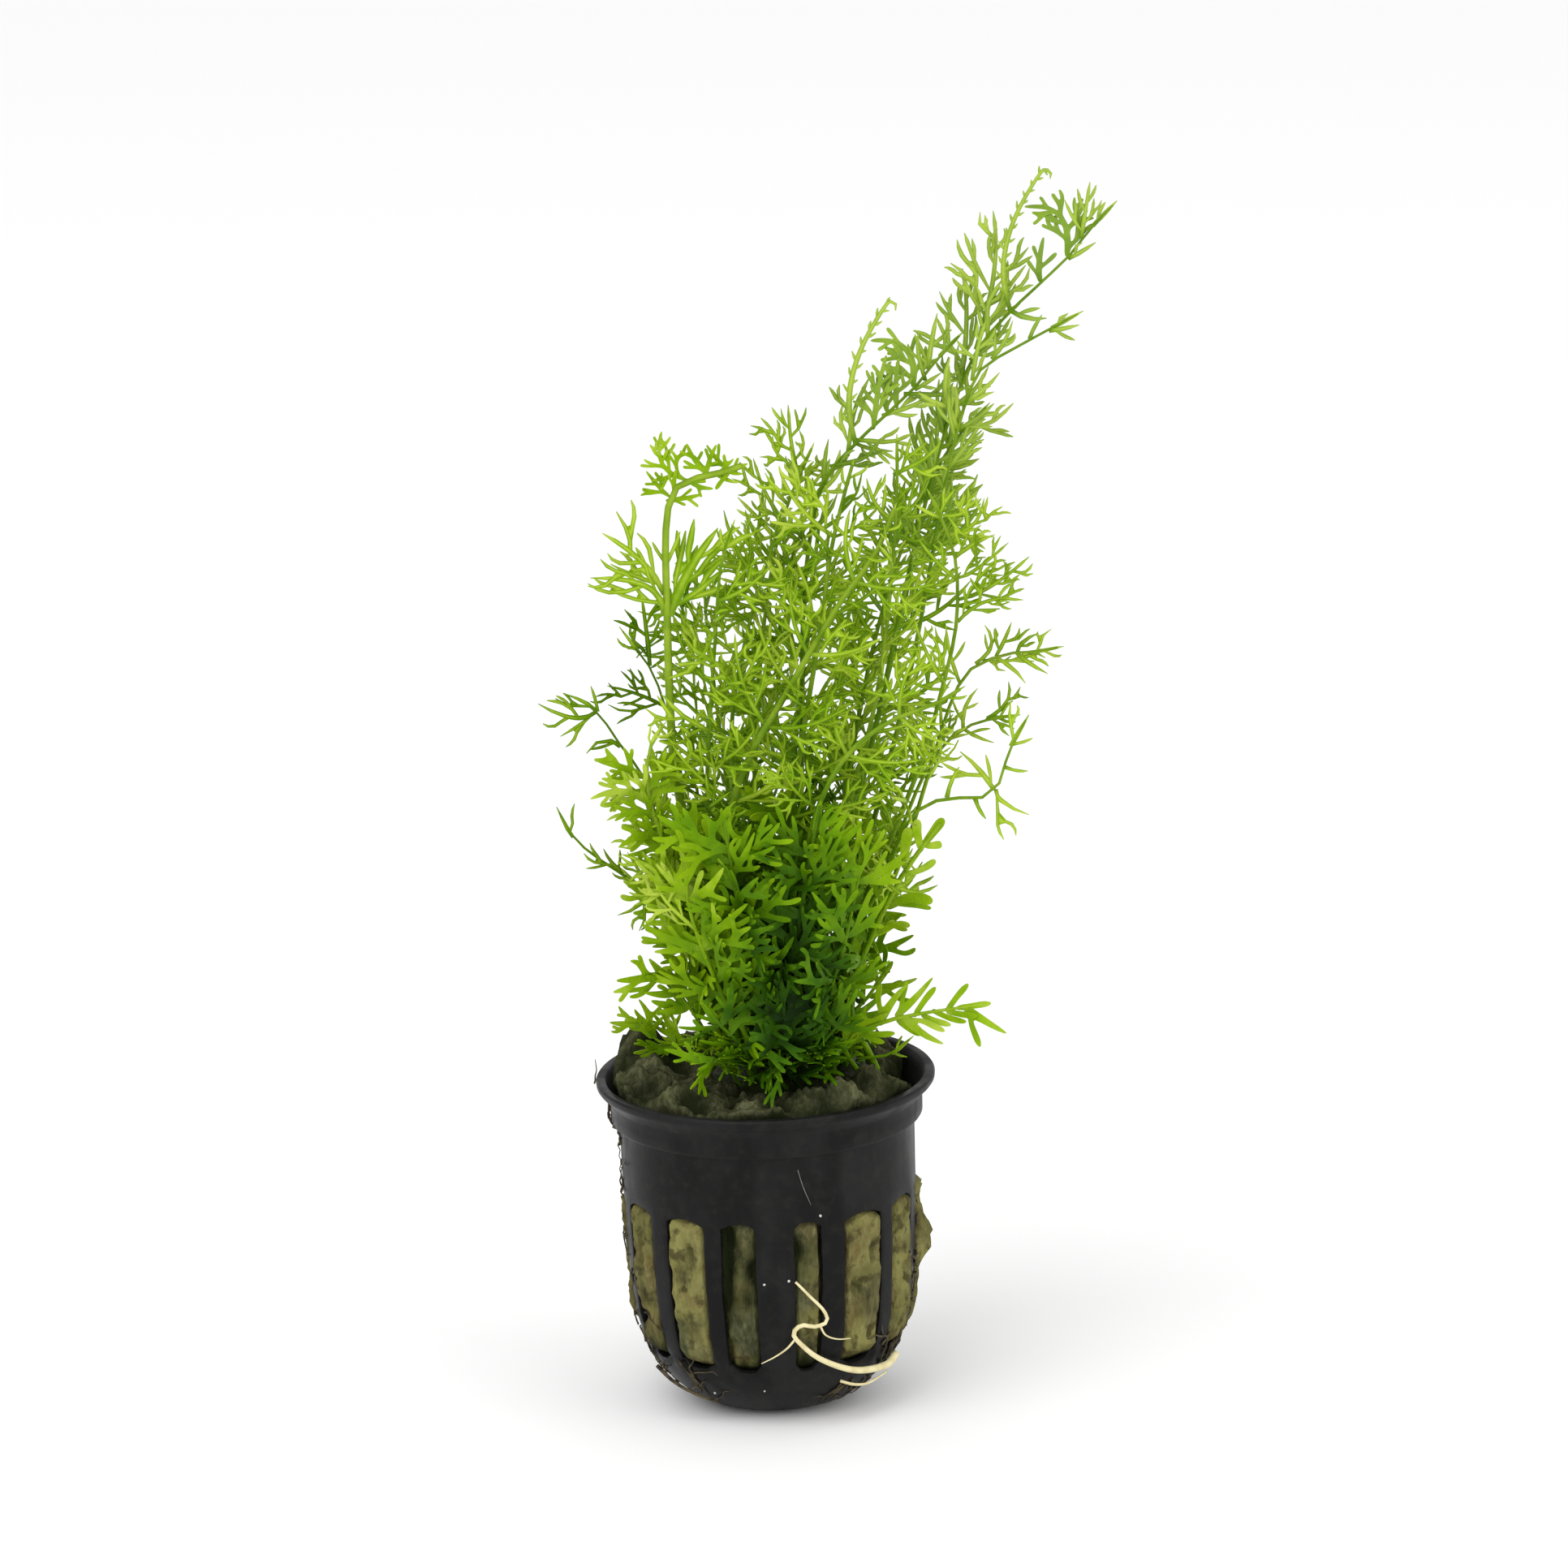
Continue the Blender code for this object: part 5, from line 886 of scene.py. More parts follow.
class Tissue:
    """A leaf's flat tissue: ribbons that are extruded from one another's borders."""

    def __init__(self, broad):
        self.bm = bmesh.new()
        self.tone, self.young, self.stem = shade_layers(self.bm)
        self.uv = self.bm.loops.layers.uv.new("blade")
        self.shade = 0.0
        # broad blades start their place across off the middle, so they get little of the lighter middle,
        # which is partly a painted highlight
        self.edge = 0.78 if broad else 0.0

    def start(self, left, right):
        pair = (self.bm.verts.new(left), self.bm.verts.new(right))
        self.bm.edges.new(pair)
        for vert in pair:
            vert[self.stem] = 1.0
        return pair

    def extend(self, pair, left, right, young, stem):
        """Extrude the border between two vertices to two new places."""
        made = bmesh.ops.extrude_edge_only(self.bm, edges=[self.bm.edges.get(pair)])["geom"]
        fresh = {item for item in made if isinstance(item, bmesh.types.BMVert)}
        ends = tuple(next(e.other_vert(v) for e in v.link_edges if e.other_vert(v) in fresh) for v in pair)
        for vert, place in zip(ends, (left, right)):
            vert.co = place
            vert[self.tone] = self.shade
            vert[self.young] = young
            vert[self.stem] = stem
        face = next(item for item in made if isinstance(item, bmesh.types.BMFace))
        for loop in face.loops:
            loop[self.uv].uv = (self.edge + (loop.vert in (pair[1], ends[1])), float(loop.vert in ends))
        return ends

    def along(self, pair, path, t, normal, width, young, stem=0.0):
        """Extend a ribbon to a share of its path, at a width."""
        across = frame_at(path, t, normal)[1] * (width / 2)
        here = path.at(t)
        return self.extend(pair, here - across, here + across, young, stem)


def shade_layers(bm):
    return [bm.verts.layers.float.new(name) for name in ("tone", "young", "stem")]


def bud_edge(low, high, side):
    """The border of a step of ribbon on one side, as (left, right) of what grows out of it."""
    return (high[1], low[1]) if side > 0 else (low[0], high[0])


def bud_path(pair, frame, side, angle, size, habit, chance):
    """A line that leaves a bud at an angle, bends forward and turns out of the plane."""
    along, across, up = frame
    line = [(pair[0].co + pair[1].co) / 2]
    rise = chance.uniform(-habit.bow, habit.bow)
    sway = chance.uniform(-habit.bow, habit.bow)
    bend = angle * chance.uniform(*habit.bend)
    wave = chance.uniform(-TWIG_BOW, TWIG_BOW)
    for k in range(4):
        turn = angle - bend * k / 3 + wave * math.sin(k * math.pi / 2)
        lift = rise * (0.3 + k / 3) + sway * math.sin(k * math.pi / 3)
        way = along * math.cos(turn) + across * side * math.sin(turn) + up * lift
        line.append(line[-1] + way.normalized() * (size / 4))
    return Path(line, 2)


def path_to(pair, tip, along):
    """A line from a bud to a given tip, bending forward."""
    root = (pair[0].co + pair[1].co) / 2
    reach = (tip - root).length
    return Path([root, root.lerp(tip, 0.5) - along * reach * 0.07, tip], 2)


# cross-sections of a last segment: share, width, swelling if it is blunt, and least length for this one
BROAD_SECTIONS = ((0.30, 0.80, 0, 0.0), (0.55, 0.90, 0, 3.2), (0.82, 1.0, 1, 0.0))
FINE_SECTIONS = ((0.26, 0.95, 0, 0.0), (0.52, 1.0, 0, 1.5), (0.78, 0.75, 0, 2.6))
AGES = (0.0, 0.2, 0.5)             # how much younger each of them is than the foot


def grow_segment(tissue, pair, path, normal, habit, young):
    """The last, undivided segments: narrow and pointed, or broad and blunt in older leaves."""
    width = habit.segment * min(1.25, 0.75 + path.length / (habit.step * 8))
    blunt = max(0.0, habit.tip - 0.5)
    for (t, share, swell, least), age in zip(BROAD_SECTIONS if habit.broad else FINE_SECTIONS, AGES):
        if path.length > least:
            wide = width * (share + swell * blunt)
            pair = tissue.along(pair, path, t, normal, wide, young + age * (1 - young))
    tissue.along(pair, path, 1.0, normal, width * habit.tip, 1.0)


def grow_pinnule(tissue, pair, path, normal, habit, chance, young):
    """A side ribbon of a pinna with alternate segments."""
    length = path.length
    step = habit.step * chance.uniform(0.8, 1.3)
    first = max(0.4 * habit.step, chance.uniform(0.16, 0.34) * length)
    count = max(0, min(int((length - first - habit.step) / step), habit.forks))
    if count == 0:
        grow_segment(tissue, pair, path, normal, habit, young)
        return
    width = habit.segment * 1.1
    pair = tissue.along(pair, path, first / length, normal, width, young)
    side = chance.choice((1, -1))
    for k in range(count):
        t = (first + step * (k + 1)) / length
        shade = young + (1 - young) * 0.5 * t
        before, pair = pair, tissue.along(pair, path, t, normal, width * (1 - 0.25 * t), shade)
        size = ((1 - t) * length * 0.85 + habit.step) * chance.uniform(0.55, 1.25)
        size = max(habit.step * 1.1, min(size, habit.segment * 11))
        bud = bud_edge(before, pair, side)
        frame = frame_at(path, t, normal)
        twig = bud_path(bud, frame, side, chance.uniform(*habit.tilt), size, habit, chance)
        if size > 2.4 * habit.step and chance.random() < 0.5:
            grow_pinnule(tissue, bud, twig, frame[2], habit._replace(forks=1), chance, shade)
        else:
            grow_segment(tissue, bud, twig, frame[2], habit, shade)
        side = -side
    rest = (1 - t) * length
    if rest > 1.3 * habit.step:
        pair = tissue.along(pair, path, 1 - 0.5 * rest / length, normal, width * 0.85, 0.8)
    tissue.along(pair, path, 1.0, normal, width * habit.tip, 1.0)


def place_buds(length, lobes, habit, chance):
    """A pinna's buds as [place, side, tip], with the plan's lobe tips given to the nearest ones."""
    spot = max(0.9, 0.10 * length) * chance.uniform(0.85, 1.2)
    side = chance.choice((1, -1))
    buds = []
    while spot + habit.bud < length - 1.9 * habit.step:
        buds.append([spot, side, None])
        spot += habit.bud + habit.gap * chance.uniform(0.6, 1.5)
        side = -side
    feet = [0.85 * (a + b) / 2 for a, b, _ in (LONG_LOBES if length > LONG else SHORT_LOBES)]
    for step, hand, tip in lobes:
        near = [b for b in buds if b[1] == hand and b[2] is None]
        if near:
            min(near, key=lambda b: abs(b[0] + habit.bud / 2 - feet[step] * length))[2] = tip
    return buds


def grow_pinna(tissue, line, normal, lobes, habit, chance, root_width):
    """A pinna: its ribbon, and pinnules on alternate sides that reach the plan's lobe tips."""
    length = line.length
    along, across, _ = frame_at(line, 0.0, normal)
    foot = line.at(0.0) - along * root_width * 0.45
    half = across * min(0.5, habit.ribbon * 0.36)
    mood = chance.uniform(-TONE_SPREAD, TONE_SPREAD) if habit.broad else chance.uniform(*FINE_TONES)
    tissue.shade = mood
    pair = tissue.start(foot - half, foot + half)
    buds = place_buds(length, lobes if habit.forks else (), habit, chance)
    if not buds:
        grow_segment(tissue, pair, line, normal, habit, 0.3)
        return
    for spot, side, tip in buds:
        t = spot / length
        width = habit.ribbon * (1 - 0.5 * t) * (0.8 if spot == buds[0][0] else 1)
        pair = tissue.along(pair, line, t, normal, width, t * 0.5, max(0, 0.7 - 2 * t))
        u = (spot + habit.bud) / length
        width = habit.ribbon * (1 - 0.5 * u)
        before, pair = pair, tissue.along(pair, line, u, normal, width, u * 0.5, max(0, 0.5 - 2 * u))
        frame = frame_at(line, u, normal)
        bud = bud_edge(before, pair, side)
        tissue.shade = mood + chance.uniform(-PINNULE_SPREAD, PINNULE_SPREAD)
        if tip is None:
            size = (habit.reach * length * (1 - u) ** 0.7 + 1.2 * habit.step) * chance.uniform(0.6, 1.15)
            twig = bud_path(bud, frame, side, chance.uniform(*habit.tilt), min(size, 9.0), habit, chance)
        else:
            twig = path_to(bud, tip, frame[0])
        face = turned(frame[2], twig.way(0.5), chance.uniform(-habit.bow, habit.bow))
        grow_pinnule(tissue, bud, twig, face, habit, chance, u * 0.5)
        tissue.shade = mood
    rest = length * (1 - u)
    pair = tissue.along(pair, line, 1 - 0.5 * rest / length, normal, habit.segment, 0.8)
    tissue.along(pair, line, 1.0, normal, habit.segment * habit.tip, 1.0)


def plane_pinnae(plan, chance):
    """More pinnae in a frond's own plane, as (line, normal, habit)."""
    grown = []
    if plan.name not in PLANE_FILL:
        return grown
    path = plan.path
    first, last, gap, sizes, slope = PLANE_FILL[plan.name]
    spot, side = first * path.length, 1
    while spot < last * path.length:
        t = spot / path.length
        along, across, normal = frame_at(path, t, plan.face)
        angle = chance.uniform(*slope)
        way = along * math.cos(angle) + across * side * math.sin(angle) + normal * chance.uniform(-0.3, 0.3)
        place = path.at(t)
        tip = place + way * chance.uniform(*sizes)
        bend = place.lerp(tip, 0.5) + across * side * (tip - place).length * chance.uniform(0.03, 0.14)
        face = turned(normal, way, chance.uniform(-0.5, 0.5))
        grown.append((Path([place, bend, tip], 4), face, habit_of(plan, t, tip)))
        spot += gap * chance.uniform(0.7, 1.3)
        side = -side
    return grown


def is_aside(tip):
    """Whether a point is beside the space that the low leaves fill."""
    left, right = (float(np.interp(tip.z, BASAL_SPAN[0], side)) for side in BASAL_SPAN[1:])
    return not left < tip.x < right


def is_bare(tip):
    """Whether a point is beside the low leaves, where no fine ones are."""
    return is_aside(tip) and (tip.z < FINE_FOOT or tip.x > FINE_SIDE)


def hooked(line):
    """A line that curls over past its end, as a young leaf's tip does."""
    tip = line.at(1.0)
    over = [tip + Vector(step) for step in ((0.9, -0.1, 0.3), (1.5, -0.2, -0.4), (1.3, -0.2, -1.1))]
    return Path([line.at(k / 6) for k in range(6)] + [tip] + over, 3)


class Zone(typing.NamedTuple):
    """Leaves that fill a height of the bush: least and most of each."""
    gap: tuple                     # from one to the next
    tilt: tuple                    # angle from upright
    lean: tuple                    # outwards
    size: tuple


HEM = Zone((1.3, 2.2), (1.1, 1.6), (0.5, 1.5), (4.0, 7.5))
BASAL = Zone((2.5, 4.3), (0.35, 1.45), (0.05, 0.40), (7.5, 13.5))
UPPER = Zone((4.4, 7.6), (0.45, 1.30), (0.10, 0.80), (6.5, 11.5))


def filling_habit(tip, hem, basal, chance):
    """How a filling leaf divides: fine above and beside the low leaves, broad among them."""
    if basal and not is_aside(tip):
        wide = WEBBED if tip.x < WEBBED_SIDE and tip.y < 0 else BROAD
        habit = wide.sized(chance.uniform(0.8, 1.1))
    else:
        habit = FINE.sized(chance.uniform(0.9, 1.35))
    return BROAD.sized(chance.uniform(0.6, 0.8)) if hem else habit


def filling_pinnae(plan, chance):
    """Short pinnae on the stretches of stalk that leaves hide, as (line, normal, habit)."""
    grown = []
    if plan.name in BARE:
        return grown
    path = plan.path
    spot, side = 2.0, 1
    while spot < path.length - STALK_TIP:
        place = path.at(spot / path.length)
        hem, basal = place.z < HEM_TOP, place.z < BASAL_TOP
        zone = HEM if hem else BASAL if basal else UPPER
        out = Vector((place.x - BUSH.x, place.y - BUSH.y, 0.0))
        crowded = any(abs(pinna[0] * path.length - spot) < 1.7 for pinna in plan.pinnae)
        spot += chance.uniform(*zone.gap)
        if place.z < BASAL_FOOT or place.z > FILL_TOP or (not basal and (crowded or out.x > FILL_SIDE)):
            continue
        out = turned(out.normalized(), UP, chance.uniform(-0.6, 0.6))
        beside = UP.cross(out) * side
        side = -side
        tilt = chance.uniform(*zone.tilt)
        way = UP * math.cos(tilt) + beside * math.sin(tilt) + out * chance.uniform(*zone.lean)
        size = chance.uniform(*zone.size)
        tip = place + way.normalized() * size
        if basal and is_bare(tip):
            way.x *= -0.6
            tip = place + way.normalized() * size
            if is_bare(tip):
                continue
        if any(math.hypot(tip.x - x, tip.z - z) < radius for x, z, radius in GAPS):
            continue
        bend = place.lerp(tip, 0.5) + out * 0.12 * size + Vector((0, 0, 0.10 * size if hem else 0.0))
        if hem:
            face = out * 0.4 + UP
        else:
            face = out + Vector((0, -0.7 if basal and out.y < 0.4 else 0, 0.3))
        grown.append((Path([place, bend, tip], 4), face, filling_habit(tip, hem, basal, chance)))
    return grown


def tube(bm, path, widths, face, sides, stops, flat=1.0, layers=None, chance=None):
    """A closed tapering tube along a path, extruded from a circle."""
    ring = bmesh.ops.create_circle(bm, cap_ends=True, segments=sides, radius=1.0)["verts"]
    end = ring[0].link_faces[0]
    turns = [math.atan2(v.co.y, v.co.x) for v in end.verts]
    ridge = [chance.uniform(-0.16, 0.16) if chance else 0.0 for _ in turns]
    before = None
    for t in stops:
        across, normal = frame_at(path, t, face)[1:]
        if before is not None and across.dot(before) < 0:
            across, normal = -across, -normal
        before = across
        half = between(widths, t) / 2
        here = path.at(t)
        if t > stops[0]:
            end = bmesh.ops.extrude_discrete_faces(bm, faces=[end])["faces"][0]
        for vert, turn, rise in zip(end.verts, turns, ridge):
            reach = half * (1 + rise * 0.4)
            vert.co = here + across * (reach * math.cos(turn)) + normal * (reach * flat * math.sin(turn))
            if layers:
                # the tone follows the ridges, so the stalk has lighter streaks along its length: a painted
                # highlight
                vert[layers[0]], vert[layers[1]] = rise, t * 0.4
                vert[layers[2]] = min(1.0, max(0.25, (here.z - GREEN_LOW) / (GREEN_HIGH - GREEN_LOW)))
    bmesh.ops.holes_fill(bm, edges=[e for e in bm.edges if e.is_boundary], sides=0)


def shade_core(point, tone):
    """Tone at a point, with painted shade: leaves inside the bush are darker, most of all over the rootstock,
    and a little darker towards the bottom.
    """
    x, z, wide, high, depth = CORE_SHADE
    low = math.exp(-((point.x - x) / wide) ** 2 - ((point.z - z) / high) ** 2)
    lean = BUSH.x + (point.z - BASAL_FOOT) * BUSH_LEAN
    inner_shade = math.exp(-((point.x - lean) ** 2 + point.y ** 2) / 90.0) * clamped((130.0 - point.z) / 40.0)
    base = clamped((108.0 - point.z) / 12.0)
    return max(tone * 0.6, -0.2) - depth * low - 0.4 * inner_shade - 0.02 * base


def mesh_of(bm, name):
    """Make a mesh of a bmesh, and free it."""
    mesh = bpy.data.meshes.new(name)
    bm.to_mesh(mesh)
    bm.free()
    return mesh


def placed(name, data):
    """A new object in the scene."""
    made = bpy.data.objects.new(name, data)
    bpy.context.scene.collection.objects.link(made)
    return made


def outward(bm):
    bmesh.ops.recalc_face_normals(bm, faces=bm.faces)


def thickened(bm, smooth_forks):
    """Round the tissue's forks, give it its thickness, and return it as a bmesh."""
    outward(bm)
    sheet = placed("tissue", mesh_of(bm, "tissue"))
    if smooth_forks:
        smooth = sheet.modifiers.new("forks", "SUBSURF")
        smooth.levels = smooth.render_levels = 1
    thick = sheet.modifiers.new("thickness", "SOLIDIFY")
    thick.thickness, thick.offset = BLADE_THICK, 0.0
    solid = bmesh.new()
    solid.from_object(sheet, bpy.context.evaluated_depsgraph_get())
    mesh = sheet.data
    bpy.data.objects.remove(sheet)
    bpy.data.meshes.remove(mesh)
    return solid


def build_stalk(plan, chance):
    path, widths = plan.path, plan.widths
    stalk = bmesh.new()
    count = max(6, int(path.length / STALK_STEP))
    stops = [(1 - 1.0 / path.length) * k / count for k in range(count + 1)]
    thin = STALK_THIN.get(plan.name, STALK_SHARE)
    widths = (widths[0] * thin, widths[1] * thin)
    tube(stalk, path, widths, plan.face, 8, stops, STALK_FLAT, shade_layers(stalk), chance)
    return stalk


def build_frond(plan, number, look):
    path = plan.path
    chance = random.Random(number * 7 + 5)
    grown = []
    for t, line, normal, lobes in plan.pinnae:
        face = turned(normal, line.way(0.5), chance.uniform(-0.3, 0.3))
        habit = habit_of(plan, t, line.at(1.0)).sized(chance.uniform(0.85, 1.2))
        if habit.forks == 0:
            line = hooked(line)
        grown.append((line, face, lobes, habit, between(plan.widths, t)))
    last = 1 - min(0.3, 5.5 / path.length)
    end_line = Path([path.at(last + (1 - last) * k / 3) for k in range(4)], 3)
    grown.append((end_line, plan.face, (), habit_of(plan, 1.0, path.at(1.0)), plan.widths[1]))
    for line, face, habit in plane_pinnae(plan, chance) + filling_pinnae(plan, chance):
        grown.append((line, face, (), habit, plan.widths[0]))
    whole = bmesh.new()
    parts = []
    for broad in (True, False):
        tissue = Tissue(broad)
        for line, face, lobes, habit, width in grown:
            if habit.broad == broad:
                grow_pinna(tissue, line, face, lobes, habit, chance, width)
        parts.append(thickened(tissue.bm, broad))
    for part in parts + [build_stalk(plan, chance)]:
        mesh = mesh_of(part, "part")
        whole.from_mesh(mesh)
        bpy.data.meshes.remove(mesh)
    # painted shade of the bush's core is added to the tone of each point
    shade = whole.verts.layers.float["tone"]
    for vert in whole.verts:
        vert[shade] += shade_core(vert.co, plan.tone)
    dress(whole, "fern_" + plan.name, look, ("frond_" + plan.name,), LEAF_CREASE)


# finishes


def add(tree, kind, feeds=None, **fixed):
    """Add a shader node, set its fixed values, and feed or set its inputs."""
    made = tree.nodes.new("ShaderNode" + kind)
    for key, value in fixed.items():
        setattr(made, key, value)
    for place, source in (feeds or {}).items():
        if isinstance(source, bpy.types.NodeSocket):
            tree.links.new(source, made.inputs[place])
        else:
            made.inputs[place].default_value = source
    return made


def mixed(tree, share, one, two):
    """One colour turning into another, each a socket or a fixed colour."""
    feeds = {0: share}
    for place, colour in ((6, one), (7, two)):
        feeds[place] = (*colour, 1) if isinstance(colour, tuple) else colour
    return add(tree, "Mix", feeds, data_type="RGBA", blend_type="MIX").outputs[2]


def maths(tree, how, one, two=0.0, clamp=False):
    return add(tree, "Math", {0: one, 1: two}, operation=how, use_clamp=clamp).outputs[0]


def ranged(tree, value, ends, goals=(0.0, 1.0), smooth=False):
    """A value taken from one range to another."""
    feeds = {"Value": value, "From Min": ends[0], "From Max": ends[1], "To Min": goals[0], "To Max": goals[1]}
    return add(tree, "MapRange", feeds, interpolation_type="SMOOTHSTEP" if smooth else "LINEAR").outputs[0]


def ramp(tree, share, stops):
    made = add(tree, "ValToRGB", {0: share})
    marks = made.color_ramp.elements
    while len(marks) < len(stops):
        marks.new(0.5)
    for mark, (place, colour) in zip(marks, stops):
        mark.position = place
        mark.color = (*colour, 1)
    return made.outputs[0]


def masks(tree, *names):
    """The values that a piece's points carry."""
    return [add(tree, "Attribute", attribute_name=name).outputs["Fac"] for name in names]


def new_group(name, inputs, outputs):
    group = bpy.data.node_groups.new(name, "ShaderNodeTree")
    for label, kind, value in inputs:
        made = group.interface.new_socket(label, in_out="INPUT", socket_type="NodeSocket" + kind)
        made.default_value = value
    for label, kind in outputs:
        group.interface.new_socket(label, in_out="OUTPUT", socket_type="NodeSocket" + kind)
    return group, group.nodes.new("NodeGroupInput").outputs, group.nodes.new("NodeGroupOutput").inputs


def mottle_group():
    """A soft mask of patches, on Object coordinates."""
    inputs = (("Scale", "Float", 200.0), ("Low", "Float", 0.4), ("High", "Float", 0.6),
              ("Detail", "Float", 3.0), ("Stretch", "Vector", (1.0, 1.0, 1.0)))
    group, given, out = new_group("mottle", inputs, (("Mask", "Float"),))
    place = add(group, "TexCoord").outputs["Object"]
    place = add(group, "VectorMath", {0: place, 1: given["Stretch"]}, operation="MULTIPLY").outputs[0]
    feeds = {"Vector": place, "Scale": given["Scale"], "Detail": given["Detail"]}
    grain = add(group, "TexNoise", feeds).outputs["Fac"]
    group.links.new(ranged(group, grain, (given["Low"], given["High"]), smooth=True), out["Mask"])


def mottle(tree, name):
    """One of the named masks of patches."""
    feeds = {"Scale": 0.0, "Low": 0.0, "High": 0.0, "Detail": 3.0, "Stretch": (1.0, 1.0, 1.0)}
    feeds.update(zip(feeds, GRAINS[name]))
    return add(tree, "Group", feeds, node_tree=bpy.data.node_groups["mottle"]).outputs["Mask"]


def living_green_group():
    """Colour of fern tissue from its tone, age and place across the blade: the middle of each ribbon is
    lighter, partly as its midvein and partly as a painted highlight, and the tone carries the painted shade
    of the bush's core.
    """
    inputs = (("Lift", "Float", 0.0), ("Dull", "Float", 0.0))
    group, given, out = new_group("living_green", inputs, (("Color", "Color"), ("Vein", "Float")))
    tone, young, stem = masks(group, "tone", "young", "stem")
    across = add(group, "SeparateXYZ", {0: add(group, "UVMap", uv_map="blade").outputs[0]}).outputs[0]
    off = maths(group, "ABSOLUTE", maths(group, "SUBTRACT", across, 0.5))
    # 1 along the middle of each ribbon and 0 at its borders: partly the midvein, partly a painted highlight
    vein_and_highlight = ranged(group, off, (0.06, 0.34), (1.0, 0.0), smooth=True)
    value = add(group, "Math", {0: tone, 1: 0.36, 2: 0.49}, operation="MULTIPLY_ADD").outputs[0]
    value = maths(group, "ADD", value, maths(group, "MULTIPLY", young, 0.13))
    value = maths(group, "ADD", value, maths(group, "MULTIPLY", mottle(group, "tissue"), 0.16))
    value = maths(group, "ADD", value, given["Lift"], clamp=True)
    leaf = ramp(group, maths(group, "SUBTRACT", value, 0.06), LEAF_COLOURS)
    light = ramp(group, maths(group, "ADD", value, 0.22), LEAF_COLOURS)
    leaf = mixed(group, maths(group, "MULTIPLY", vein_and_highlight, 0.7), leaf, light)
    shade = mixed(group, stem, leaf, ramp(group, value, STALK_COLOURS))
    height = add(group, "SeparateXYZ", {0: add(group, "TexCoord").outputs["Object"]}).outputs[2]
    blade = maths(group, "SUBTRACT", 1.0, stem, clamp=True)
    high = maths(group, "MULTIPLY", ranged(group, height, (HAZE_LOW, HAZE_HIGH)), blade)
    shade = mixed(group, maths(group, "MULTIPLY", given["Dull"], high), shade, HAZE)
    group.links.new(shade, out["Color"])
    group.links.new(vein_and_highlight, out["Vein"])


def new_finish(name, colour, roughness, sheen):
    """A material with a Principled shader, ready for its maps, as (material, tree, shader's inputs)."""
    made = bpy.data.materials.new(name)
    made.use_nodes = True
    inputs = made.node_tree.nodes["Principled BSDF"].inputs
    inputs["Base Color"].default_value = (*colour, 1)
    inputs["Roughness"].default_value = roughness
    inputs["Specular IOR Level"].default_value = sheen
    return made, made.node_tree, inputs


def bump(tree, inputs, height, strength, distance):
    made = add(tree, "Bump", {"Height": height, "Strength": strength, "Distance": distance})
    tree.links.new(made.outputs[0], inputs["Normal"])


def leaf_material(name, lift, dull):
    made, tree, inputs = new_finish(name, (0.2, 0.45, 0.02), roughness=0.5, sheen=0.06)
    green = add(tree, "Group", {"Lift": lift, "Dull": dull}, node_tree=bpy.data.node_groups["living_green"])
    tree.links.new(green.outputs["Color"], inputs["Base Color"])
    tree.links.new(ranged(tree, mottle(tree, "gloss"), (0.0, 1.0), (0.38, 0.6)), inputs["Roughness"])
    height = maths(tree, "ADD", green.outputs["Vein"], mottle(tree, "cells"))
    bump(tree, inputs, height, strength=0.35, distance=0.00012)
    return made


def plastic_material():
    made, tree, inputs = new_finish("black_plastic", (0.022, 0.023, 0.024), roughness=0.42, sheen=0.10)
    # vertical streaks of painted reflection: the plastic is paler there, and rougher
    roughness_and_reflection_streaks = mottle(tree, "roughness_and_reflection_streaks")
    base = mixed(tree, roughness_and_reflection_streaks, *PLASTIC)
    base = mixed(tree, maths(tree, "MULTIPLY", mottle(tree, "film"), 0.20), base, PLASTIC_FILM)
    tree.links.new(base, inputs["Base Color"])
    tree.links.new(ranged(tree, roughness_and_reflection_streaks, (0.0, 1.0), (0.34, 0.55)), inputs["Roughness"])
    bump(tree, inputs, mottle(tree, "moulding"), strength=0.12, distance=0.0001)
    return made


def wool_material():
    made, tree, inputs = new_finish("rock_wool", (0.2, 0.18, 0.055), roughness=0.9, sheen=0.05)
    dirt, fibre = mottle(tree, "dirt"), mottle(tree, "fibre")
    damp, moss = masks(tree, "damp", "moss")
    base = mixed(tree, mottle(tree, "patches"), *WOOL)
    base = mixed(tree, maths(tree, "MULTIPLY", fibre, 0.40), base, WOOL_FIBRE)
    base = mixed(tree, maths(tree, "MULTIPLY", dirt, 0.75), base, WOOL_DIRT)
    base = mixed(tree, maths(tree, "MULTIPLY", moss, 0.8), base, mixed(tree, fibre, *WOOL_GREY))
    # dampness and painted shade of the wool's recesses and creases darken it here
    base = mixed(tree, damp, base, WOOL_WET_AND_SHADE)
    tree.links.new(base, inputs["Base Color"])
    height = maths(tree, "ADD", fibre, maths(tree, "MULTIPLY", dirt, -0.8))
    bump(tree, inputs, height, strength=0.6, distance=0.0003)
    return made


def spotted_material(name, colour, spots, share):
    made, tree, inputs = new_finish(name, colour, roughness=0.5, sheen=0.15)
    base = mixed(tree, maths(tree, "MULTIPLY", mottle(tree, "spots"), share), colour, spots)
    tree.links.new(base, inputs["Base Color"])
    bump(tree, inputs, mottle(tree, "skin"), strength=0.3, distance=0.0001)
    return made


def dress(bm, name, look, nodes=(), crease=0):
    """Scale to metres, put the piece in the scene and tie it to the frame."""
    material, slot = look
    bmesh.ops.scale(bm, verts=bm.verts, vec=(MM, MM, MM))
    mesh = mesh_of(bm, name)
    mesh.shade_smooth()
    if crease:
        mesh.set_sharp_from_angle(angle=math.radians(crease))
    mesh.materials.clear()
    mesh.materials.append(material)
    piece = placed(name, mesh)
    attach(piece, "root")
    if nodes:
        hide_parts(*nodes)


# pot


